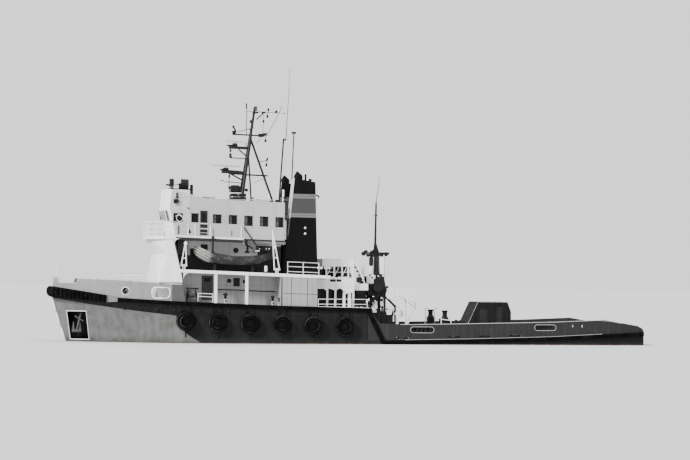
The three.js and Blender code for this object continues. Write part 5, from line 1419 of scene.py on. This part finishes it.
# %% [markdown]
# The yards and platforms of the mast are braced with thin rods. At the head a light yard carries aerials,
# and whips lean aft from it. All of it is round bar of different thickness, so a table of bars holds it.

# %% Braces and aerials of the mast
MAST_BARS = [
    # start, end, radius, sides
    ((-4.35, 0, 8.53), (-3.78, 0, 8.68), 0.013, 6),
    ((-3.59, 0, 9.05), (-3.29, 0, 9.32), 0.024, 8),
    ((-3.56, 0, 8.1), (-3.4, 0, 8.27), 0.013, 6),
    ((-3.66, 0, 6.48), (-3.17, 0, 6.68), 0.012, 6),
    ((-3.15, 0, 8.38), (-2.52, 0, 9.61), 0.012, 6),
    ((-4.0, 0, 9.48), (-4.0, 0, 9.7), 0.028, 8),
    ((-2.8, 0, 9.3), (-2.8, 0, 9.42), 0.02, 6),
    ((-2.78, 0, 9.36), (-2.45, 0, 9.31), 0.006, 5),
    ((-4.0, 0.05, 7.95), (-4.0, 0.05, 8.12), 0.016, 6),
    ((-5.02, 0, 6.53), (-4.9, 0, 6.53), 0.02, 6),
]
LAMP_ARM = [(-4.46, 0, 8.46), (-4.43, 0, 8.56), (-4.52, 0, 8.72)]
# The two radar platforms: height, and X of their tip and root.
PLATFORMS = [(7.86, -4.81, -4.4), (6.88, -5.08, -4.75)]
PLATFORM_HALF = 0.17

braces = Piece()
for start, end, radius, sides in MAST_BARS:
    braces.bar(start, end, radius, sides)
braces.block((-3.75, -3.52), (-0.14, 0.14), (9.3, 9.34))
braces.block((-3.38, -3.22), (-0.03, 0.03), (9.3, 9.37))
braces.block((-3.5, -3.3), (-0.05, 0.05), (8.33, 8.47), 0.01)
braces.ball((-2.455, 0, 9.31), 0.032, 8)
braces.run(LAMP_ARM, 0.035, 8).ball((-4.53, 0, 8.74), 0.052, 10)
for z, tip, root in PLATFORMS:
    below_upper = z - PLATFORMS[0][0]
    for y in (-PLATFORM_HALF, PLATFORM_HALF):
        braces.run([(root, y, z), (tip, y * 0.3, z + 0.12), (root, y, z + 0.13)], 0.013, 6)
        braces.bar((tip + 0.1, y * 0.6, z + 0.1), (-4.05 + below_upper * 0.12, y, z + 0.04), 0.012, 6)
        braces.bar((root + 0.1, y, z - 0.05), (-3.95 + below_upper * 0.15, y, z - 0.34), 0.016, 6)
braces.done("mast_braces", "black_steel")

# %% [markdown]
# A ladder with narrow rungs goes up between the legs so that the lamps can be reached. Its rungs are a
# loop, each one step further up and aft along the lean of the mast.

# %% Ladder of the mast
LADDER_HALF = 0.13
RUNGS = 13
RUNG_X, RUNG_Z = (-4.085, 0.0235), (6.08, 0.178)

ladder = Piece()
for y in (-LADDER_HALF, LADDER_HALF):
    ladder.bar((-4.1, y, 5.95), (-3.79, y, 8.3), 0.014, 6)
for k in range(RUNGS):
    x, z = RUNG_X[0] + RUNG_X[1] * k, RUNG_Z[0] + RUNG_Z[1] * k
    ladder.bar((x, -LADDER_HALF, z), (x, LADDER_HALF, z), 0.01, 6)
ladder.done("mast_ladder", "dark_grey_paint")

# %% [markdown]
# Round the foot of the mast stand cable boxes, and cable trays run across the roof to it. From the side
# they look like a row of dark boxes with light gaps. Feet with bolted plates hold the legs.

# %% Foot of the mast and roof gear
ROOF_Z = 5.74
CABLE_BOXES_X = [(-4.59, -4.36), (-4.33, -4.2), (-4.17, -4.02)]
TRIM_Y = (-0.35, -0.325)

foot = Piece()
for x0, x1 in CABLE_BOXES_X:
    foot.block((x0, x1), (-0.42, -0.3), (5.9, 6.0), 0.012)
    foot.block((x0 - 0.03, x1), (-0.44, -0.3), (5.75, 5.86), 0.012)
foot.block((-4.63, -4.3), (-0.36, -0.3), (6.09, 6.35), 0.015)
foot.block((-4.06, -3.94), (-0.3, -0.18), (6.1, 6.22), 0.01)
foot.block((-3.6, -3.5), (-0.3, -0.2), (ROOF_Z, ROOF_Z + 0.05), 0.01)
foot.block((-2.83, -2.7), (-0.4, -0.26), (5.68, 5.78), 0.01)
for x, z in ((-3.75, 5.72), (-3.72, 5.84)):
    foot.disc((x, 0, z), UP, 0.07, 0.05, 10)
foot.done("mast_foot_boxes", "black_steel")

trim = Piece()
for z in (5.86, 6.01):
    trim.block((-4.62, -4.03), TRIM_Y, (z, z + 0.036), 0.004)
for x in (-4.345, -4.18):
    trim.block((x - 0.016, x + 0.016), TRIM_Y, (5.75, 6.02), 0.004)
trim.done("mast_foot_trim", "white_paint")

trays = Piece()
for y in (-0.9, 0.75):
    trays.block((-6.4, -2.9), (y - 0.06, y + 0.06), (ROOF_Z - 0.015, ROOF_Z + 0.012), 0.004)
trays.block((-5.7, -5.2), (0.5, 1.0), (ROOF_Z - 0.01, ROOF_Z + 0.16), 0.02)
trays.done("roof_trays", "light_grey_paint")

# %% [markdown]
# Beside the funnels are small things that the eye still catches: signal lamps on a post, a bent steam pipe,
# round lights on the side, the heel bracket of the boat deck's crane with its hose, and a box of crane
# gear. The dark ones make one piece and the light ones another, because a piece has one finish.

# %% Small gear by the funnels and the crane
LAMP_POST_Y, STEAM_PIPE_Y = 2.25, 1.945
CRANE_Y = -2.32

dark = Piece()
light = Piece()
for name, side in SIDES.items():
    lamp_y, pipe_y = side * LAMP_POST_Y, side * STEAM_PIPE_Y
    for z in (5.65, 5.8):
        dark.block((-2.77, -2.59), (lamp_y - 0.05, lamp_y + 0.05), (z - 0.035, z + 0.035), 0.02)
    light.block((-2.79, -2.72), (side * 2.2 - 0.03, side * 2.2 + 0.03), (5.55, 6.12), 0.01)
    dark.run([(-1.401, pipe_y, 5.94), (-1.31, pipe_y, 5.9), (-1.27, pipe_y, 5.83)], 0.03, 8)
    for z in (4.377, 4.604):
        place, out = skin(f"funnel_{name}", -1.884, z, side)
        light.ball(place + out * 0.015, 0.045, 12)
dark.run([(x, CRANE_Y, z) for x, z in ((-4.2, 4.12), (-4.25, 3.97), (-4.17, 3.84), (-4.2, 3.6))], 0.042, 8)
dark.beam((-4.17, CRANE_Y, 3.88), (-3.98, -2.34, 3.76), 0.05)
dark.block((-4.28, -4.1), (-2.36, -2.3), (3.58, 3.66), 0.01)
dark.block((-3.74, -3.24), (-2.2, -1.95), (3.62, 3.85), 0.03)
dark.disc((-3.5, -2.21, 3.74), ATHWART, 0.09, 0.04, 16)
for x, z in ((-3.69, 3.75), (-3.42, 3.755), (-3.3, 3.76)):
    light.ball((x, -2.21, z), 0.03, 10)
light.block((-3.53, -3.42), (-2.66, -2.56), (2.85, 3.08), 0.02)
dark.done("funnel_deck_gear", "black_steel")
light.done("funnel_deck_lights", "white_paint", smooth=True)

# %% [markdown]
# Aft of the funnels stands an open shelter. Under its roof are racks of bottles and hose reels, and below the
# deck edge it is a store behind posts, dark with painted shade. The racks are plain black boxes of different
# depth, whose black is partly their own and partly that painted shade, because from the side only their dark
# fronts and the light posts before them can be read.

# %% Racks and steps of the shelter
RACKS = [
    # x from, x to, z from, z to, how far out
    (-1.02, -0.6, 2.7, 2.99, 1.3), (-0.58, -0.31, 2.7, 2.96, 1.2), (-0.27, 0.11, 2.68, 3.08, 1.32),
    (-1.22, -0.62, 1.47, 2.18, 1.45), (-0.58, 0.2, 1.47, 2.2, 1.35), (0.24, 0.8, 1.47, 2.1, 1.2),
]
RACK_DEPTH = 0.5
STEPS = 6

racks = Piece()
# Black boxes: the racks, their black partly painted shade under the shelter's roof.
for x0, x1, z0, z1, out_to in RACKS:
    racks.block((x0, x1), (-out_to, -out_to + RACK_DEPTH), (z0, z1), 0.02)
for x in (-0.95, -0.84, -0.73, -0.5, -0.4):
    racks.bar((x, -1.36, 2.66), (x, -1.36, 2.93), 0.04, 8)
racks.disc((-0.1, -1.36, 2.85), ATHWART, 0.15, 0.08, 16)
racks.ring((-0.1, -1.4, 2.85), ATHWART, 0.13, 0.02, 16, 6)
racks.block((-1.27, -1.15), (-1.69, -1.6), (1.44, 2.18), 0.01)
racks.block((0.16, 0.25), (-1.69, -1.62), (1.44, 2.18), 0.01)
for x0, x1 in ((-0.765, -0.53), (-0.5, -0.3)):
    racks.block((x0, x1), (-1.712, -1.69), (2.475, 2.575), 0.006)
racks.block((0.4, 0.68), (-1.4, -1.1), (2.45, 2.67), 0.01)
racks.disc((0.49, -1.3, 2.1), ATHWART, 0.16, 0.3, 16)
for k in range(STEPS):
    x, z = 0.3 + 0.069 * k, 3.22 - 0.155 * k
    racks.block((x - 0.06, x + 0.05), (-1.47, -1.1), (z - 0.03, z + 0.02), 0.004)
racks.done("shelter_racks", "black_steel", mirrored=True)

# %% [markdown]
# Light things show against the dark store: folded canvas, the struts of the racks, two bent vent pipes and
# the strings of the stair. The canvas is a few thin plates, cut to the shape of its folds.

# %% Canvas and light struts of the shelter
CANVAS = [
    [(-1.15, 2.3), (-0.92, 2.12), (-0.84, 2.22), (-1.12, 2.36)],
    [(-0.84, 2.22), (-0.6, 2.14), (-0.5, 2.12), (-0.4, 2.23)],
    [(-0.3, 2.22), (-0.19, 2.04), (0.1, 2.03), (0.13, 2.24)],
]
CANVAS_Y, CANVAS_THICK = -1.705, 0.012
VENT_Y = -2.3

canvas = Piece()
for outline in CANVAS:
    canvas.plate([(x, CANVAS_Y, z) for x, z in outline], (0, CANVAS_THICK, 0))
for x in (-0.88, -0.56, -0.245):
    canvas.bar((x, -1.5, 2.68), (x + 0.18, -1.5, 3.05), 0.013, 6)
    canvas.bar((x, -1.52, 2.86), (x + 0.3, -1.52, 2.86), 0.01, 6)
for x in (0.02, 0.09):
    canvas.ring((x, -1.46, 2.9), ATHWART, 0.05, 0.012, 12, 6)
canvas.block((0.27, 0.83), (-1.52, -1.46), (2.13, 2.4), 0.02)
for y in (-1.48, -1.12):
    canvas.bar((0.23, y, 3.29), (0.66, y, 2.6), 0.02, 6)
for x, z in ((-0.29, 2.03), (-0.03, 2.05)):
    pipe = [(x, VENT_Y, 1.5), (x, VENT_Y, z), (x + 0.09, VENT_Y, z + 0.04), (x + 0.14, VENT_Y, z - 0.02)]
    canvas.run(pipe, 0.03, 8)
canvas.done("shelter_canvas", "white_paint", mirrored=True)

# %% [markdown]
# The towing winch pulls the wire that runs over the stern. Its frame has struts down to the deck and rings
# round its bearings, and floodlights stand in a row on the head of the aft mast for work at night. A
# floodlight is a short cone, turned round an axis that points out and down.

# %% Towing winch and aft mast
FLOODLIGHTS = [(1.03, 3.66), (1.23, 3.61), (1.44, 3.61), (1.63, 3.62), (1.13, 3.72)]
FLOODLIGHT_OUTLINE = [(0, -0.06), (0.06, -0.06), (0.095, 0.05), (0, 0.05)]
FRAME_Y = 0.98

winch = Piece()
for side in (-1, 1):
    for x, z in FLOODLIGHTS:
        winch.turned((x, side * 0.95, z), (0.2, side, -0.2), FLOODLIGHT_OUTLINE, 12)
    y = side * FRAME_Y
    winch.beam((1.67, y, 2.19), (0.92, y, 1.56), 0.085)
    winch.beam((1.61, y, 1.9), (2.08, y, 1.41), 0.06)
    winch.ring((1.23, y, 2.32), ATHWART, 0.27, 0.035, 24, 8)
winch.block((0.95, 1.11), (-1.02, -0.9), (3.15, 3.47), 0.015)
winch.block((1.28, 1.355), (-1.0, -0.93), (2.75, 3.6), 0.008)
winch.bar((1.565, -0.97, 2.3), (1.565, -0.97, 3.5), 0.014, 6)
for x in (1.36, 1.5):
    winch.block((x - 0.035, x + 0.035), (-1.0, -0.9), (1.35, 1.95), 0.01)
winch.done("winch_gear", "black_steel")

# %% [markdown]
# White gussets stiffen the foot of the winch frame, and white boxes and a warping end stand out beside it.
# The gussets are plates, each cut from its corners. The warping end is a drum with a waist, turned from one
# outline.

# %% White gussets of the winch
GUSSETS = [
    [(1.28, 1.72), (1.01, 1.41), (1.3, 1.41)],
    [(1.64, 1.63), (1.64, 1.41), (1.97, 1.41)],
    [(1.08, 1.35), (1.26, 1.35), (1.26, 1.24), (1.12, 1.24)],
    [(1.64, 1.35), (1.91, 1.35), (1.88, 1.16), (1.7, 1.15)],
    [(1.99, 1.2), (2.12, 1.35), (2.3, 1.35), (2.41, 1.2), (2.3, 1.06), (2.12, 1.06)],
]
GUSSET_Y = 0.99
WINCH_BOXES = [
    # x, how far inboard and outboard of the gussets towards +Y, z, bevel
    ((1.44, 1.54), (-0.02, 0.02), (1.5, 1.7), 0.01),
    ((1.43, 1.51), (-0.02, 0.02), (1.79, 1.87), 0.01),
    ((0.935, 1.08), (-0.05, 0.03), (2.78, 3.12), 0.015),
    ((1.39, 1.555), (-0.05, 0.03), (2.8, 3.5), 0.012),
    ((0.84, 1.14), (-0.04, 0.03), (2.4, 2.72), 0.03),
    ((1.0, 1.2), (-0.04, 0.04), (2.6, 2.75), 0.02),
]
WARPING_END = [(0, -0.12), (0.2, -0.12), (0.15, -0.06), (0.14, 0.06), (0.21, 0.12), (0, 0.13)]

gussets = Piece()
for side in (-1, 1):
    y = side * GUSSET_Y
    for outline in GUSSETS:
        gussets.plate([(x, y, z) for x, z in outline], (0, side * 0.02, 0))
    for x, (y0, y1), z, bevel in WINCH_BOXES:
        gussets.block(x, (y + y0, y + y1), z, bevel)
    gussets.turned((1.83, side * 0.96, 1.97), (0, side, 0), WARPING_END, 20)
gussets.done("winch_gussets", "white_paint")

# %% [markdown]
# The aft bulwark has a cap and ringed slots for the mooring ropes. It is plated in two lengths, so a helper
# asks Skin for the right one. The rings are thin bars laid along a rounded outline, half of which is worked
# out as an arc and the rest is the same turned half round.

# %% Cap and slots of the aft bulwark
# Heights as (x, z): the bulwark's top, and the deck beside it
AFT_RAIL = [(1.085, 0.835), (2.138, 0.8), (5.0, 0.86), (8.195, 0.936), (10.28, 1.032), (11.2, 0.87)]
DECK_ROWS = [(0.5, 0.15), (1.29, 0.156), (5.0, 0.23), (8.142, 0.329), (11.808, 0.528)]
SHEET = {-1: ("bulwark_quarter_port", "bulwark_aft_port"), 1: ("bulwark_quarter_stbd", "bulwark_aft_stbd")}
BUTT_X = 5.48
AFT_SLOTS = [
    # x from, x to, z from, z to
    (2.31, 3.27, 0.47, 0.705),
    (7.38, 8.27, 0.585, 0.815),
]
ARC_STEPS = 6


def sheet(x, z, side):
    """The point on the aft bulwark, which is plated in two lengths"""
    return skin(SHEET[side][0 if x > BUTT_X else 1], x, z, side)[0]


cap = Piece()
for side in (-1, 1):
    spots = [sheet(x, table(AFT_RAIL, x) - 0.05, side) for x in spaced(1.9, 11.0, 20)]
    cap.run([(spot.x, spot.y + side * 0.004, table(AFT_RAIL, spot.x) - 0.01) for spot in spots], 0.012, 8)
    foot = [(x, table(DECK_ROWS, x) + 0.014) for x in spaced(2.1, 10.2, 14)]
    cap.run([sheet(x, z, side) + Vector((0, side * 0.006, 0)) for x, z in foot], 0.009, 6)
    for x0, x1, z0, z1 in AFT_SLOTS:
        radius = (z1 - z0) / 2
        turns = [math.pi / 2 + math.pi * k / ARC_STEPS for k in range(ARC_STEPS + 1)]
        left = [(x0 + radius + radius * math.cos(a), z0 + radius + radius * math.sin(a)) for a in turns]
        right = [(x0 + x1 - x, z0 + z1 - z) for x, z in left]
        edge = [(x, sheet(x, table(AFT_RAIL, x) - 0.06, side).y, z) for x, z in left + right + left[:1]]
        cap.run([(x, y + side * 0.006, z) for x, y, z in edge], 0.009, 6)
    for x in (8.963, 9.356):
        y = sheet(x, 0.77, side).y
        cap.block((x - 0.022, x + 0.022), (y - 0.02, y + 0.02), (0.72, 0.82), 0.012)
cap.done("bulwark_cap", "light_grey_paint")

# %% [markdown]
# Freeing ports let the deck drain. Flaps hang in them and swing outward when water presses on them; at rest
# they close them. Just inside each mooring slot stand upright rollers that the rope runs against.

# %% Freeing flaps and rollers
FREEING_PORTS = [(1.74, 0.2), (3.85, 0.242), (5.1, 0.271), (6.35, 0.31)]
ROLLERS = [
    # x of each, height of the sheet beside them, how far inboard, z from, z to, radius
    ((7.52, 7.66, 7.8, 7.94, 8.08), 0.86, 0.14, 0.55, 0.84, 0.062),
    ((2.42, 2.6, 2.78, 2.96, 3.14), 0.76, 0.15, 0.42, 0.73, 0.08),
]

flaps = Piece()
for side in (-1, 1):
    for x, z in FREEING_PORTS:
        y = sheet(x + 0.25, z + 0.2, side).y
        flaps.block((x + 0.012, x + 0.488), (y - side * 0.03, y - side * 0.045), (z + 0.012, z + 0.09), 0.003)
        for hinge_x in (x + 0.1, x + 0.4):
            hinge_y = (y - side * 0.03, y - side * 0.05)
            flaps.block((hinge_x - 0.03, hinge_x + 0.03), hinge_y, (z + 0.06, z + 0.15))
    for places, beside_z, inboard, z0, z1, radius in ROLLERS:
        for x in places:
            y = sheet(x, beside_z, side).y - side * inboard
            flaps.bar((x, y, z0), (x, y, z1), radius, 12)
flaps.done("freeing_flaps", "black_steel")

# %% [markdown]
# The casing stands raked in front so that a wire that jumps can slide over it. Edge bars stiffen its
# corners, and the side has a door, panels and upright ribs. These could be cut into the solid, but strips
# laid on it catch the light in the same way. Bitts stand ahead of it and aft of it.

# %% Casing
CASING_EDGE = [(4.86, 0.36), (5.486, 1.7), (6.718, 1.7)]
CASING_HALF = 0.9
RIBS = [
    # x, top
    (6.035, 1.66), (6.256, 1.66), (6.536, 1.66), (6.707, 1.28),
]
DECK_BITT = [(0, 0), (0.17, 0), (0.12, 0.1), (0.1, 0.36), (0.16, 0.46), (0, 0.47)]

casing = Piece()
for y in (-CASING_HALF - 0.005, CASING_HALF + 0.005):
    casing.run([(x, y, z) for x, z in CASING_EDGE], 0.007, 6)
casing.done("casing_edges", "light_grey_paint")

ribs = Piece()
for side in (-1, 1):
    y = side * CASING_HALF
    for x, top in RIBS:
        ribs.block((x - 0.012, x + 0.012), (y - 0.018, y + 0.018), (0.36, top), 0.003)
    ribs.block((6.29, 6.5), (y - 0.012, y + 0.012), (0.45, 1.5), 0.004)
    ribs.frame((5.72, y, 0.95), AFT, UP, 0.36, 0.9, 0.02, 0.02)
    ribs.block((5.56, 5.88), (y - 0.01, y + 0.01), (0.52, 1.38), 0.006)
    for z in (0.7, 1.2):
        ribs.bar((5.86, y + side * 0.012, z), (5.94, y + side * 0.012, z), 0.01, 6)
    ribs.bar((5.6, y + side * 0.02, 0.95), (5.66, y + side * 0.02, 0.95), 0.008, 6)
    for x, z in ((4.0, 0.26), (9.15, 0.42)):
        ribs.turned((x, side * 1.75, z), UP, DECK_BITT, 16)
ribs.done("casing_ribs", "dark_grey_paint")

# %% [markdown]
# Ahead of the casing stands a small capstan on its box, in a light guard, with upright pipes beside it. The
# guard is one line of pipe, bent round, on two legs.

# %% Capstans and their guards
CAPSTAN_X, CAPSTAN_Y, CAPSTAN_Z = 3.98, 1.5, 1.05
CAPSTAN_DRUM = [(0, 0), (0.15, 0), (0.1, 0.08), (0.1, 0.22), (0.15, 0.3), (0, 0.31)]
PIPE_Y, GUARD_LINE_Y = 1.62, 1.7
DECK_Z = 0.26
GUARD_LINE = [(3.9, 1.42), (3.79, 1.4), (3.8, 1.0), (4.2, 0.94), (4.17, 1.37), (4.3, 1.41)]

gear = Piece()
guards = Piece()
for side in (-1, 1):
    y, pipe_y, guard_y = side * CAPSTAN_Y, side * PIPE_Y, side * GUARD_LINE_Y
    gear.block((CAPSTAN_X - 0.14, CAPSTAN_X + 0.14), (y - 0.16, y + 0.16), (DECK_Z, CAPSTAN_Z), 0.03)
    gear.turned((CAPSTAN_X, y, CAPSTAN_Z), UP, CAPSTAN_DRUM, 16)
    for x in (4.42, 4.58, 4.72):
        gear.bar((x, pipe_y, DECK_Z), (x, pipe_y, 0.98 - (x - 4.42) * 0.1), 0.055, 10)
    gear.bar((4.36, pipe_y, 0.8), (4.8, pipe_y, 0.8), 0.045, 8)
    guards.run([(x, guard_y, z) for x, z in GUARD_LINE], 0.02, 6)
    for x, top in ((3.8, 1.0), (4.2, 0.95)):
        guards.bar((x, guard_y, DECK_Z), (x, guard_y, top), 0.02, 6)
gear.done("deck_capstans", "black_steel")
guards.done("capstan_guards", "white_paint")

# %% [markdown]
# The tyres carry a grey painted highlight on the outer shoulder and round the hole. It could be a mask in
# their paint, but the shoulder is a circle, so a thin ring laid on it follows it better. The chains hang from
# eye plates welded to the dark belt of the hull, and more of these plates run on ahead of the first tyre.

# %% Painted highlights of the tyres, and eye plates
TYRES_X = (-6.646, -5.396, -4.116, -2.844, -1.606, -0.343)
TYRE_Z, BELT_FALL = 0.863, 0.02745
TYRE_SHOULDER, TYRE_HOLE = 0.345, 0.222
EYE_PLATES = [
    (-9.02, 1.38), (-8.385, 1.366), (-7.75, 1.328), (-7.091, 1.305), (-6.808, 1.314), (-6.147, 1.295),
    (-5.512, 1.299), (-4.958, 1.26), (-4.273, 1.264), (-3.0, 1.24), (-1.75, 1.22), (-0.5, 1.2),
]

rim_highlights = Piece()
eyes = Piece()
for side in (-1, 1):
    for x in TYRES_X:
        z = TYRE_Z - (x - TYRES_X[0]) * BELT_FALL
        plating = skin("hull", x, z, side)[0].y
        centre = (x, plating + side * 0.2, z)
        # Grey rings: a painted highlight on the shoulder of each tyre and round its hole.
        rim_highlights.ring(centre, (0, side, 0), TYRE_SHOULDER, 0.018, 28, 6)
        rim_highlights.ring(centre, (0, side, 0), TYRE_HOLE, 0.018, 24, 6)
        low = skin("hull", x, z - 0.6, side)[0].y + side * 0.03
        tail = [(x, plating + side * 0.1, z - 0.38), (x + 0.01, low, z - 0.5), (x + 0.02, low, z - 0.62)]
        eyes.run(tail, 0.022, 6)
    for x, z in EYE_PLATES:
        place, out = skin("hull", x, z, side)
        eyes.ball(place + out * 0.012, 0.055, 10)
rim_highlights.done("tyre_highlight_rings", "tyre_highlight", smooth=True)
eyes.done("hull_eye_plates", "black_steel", smooth=True)
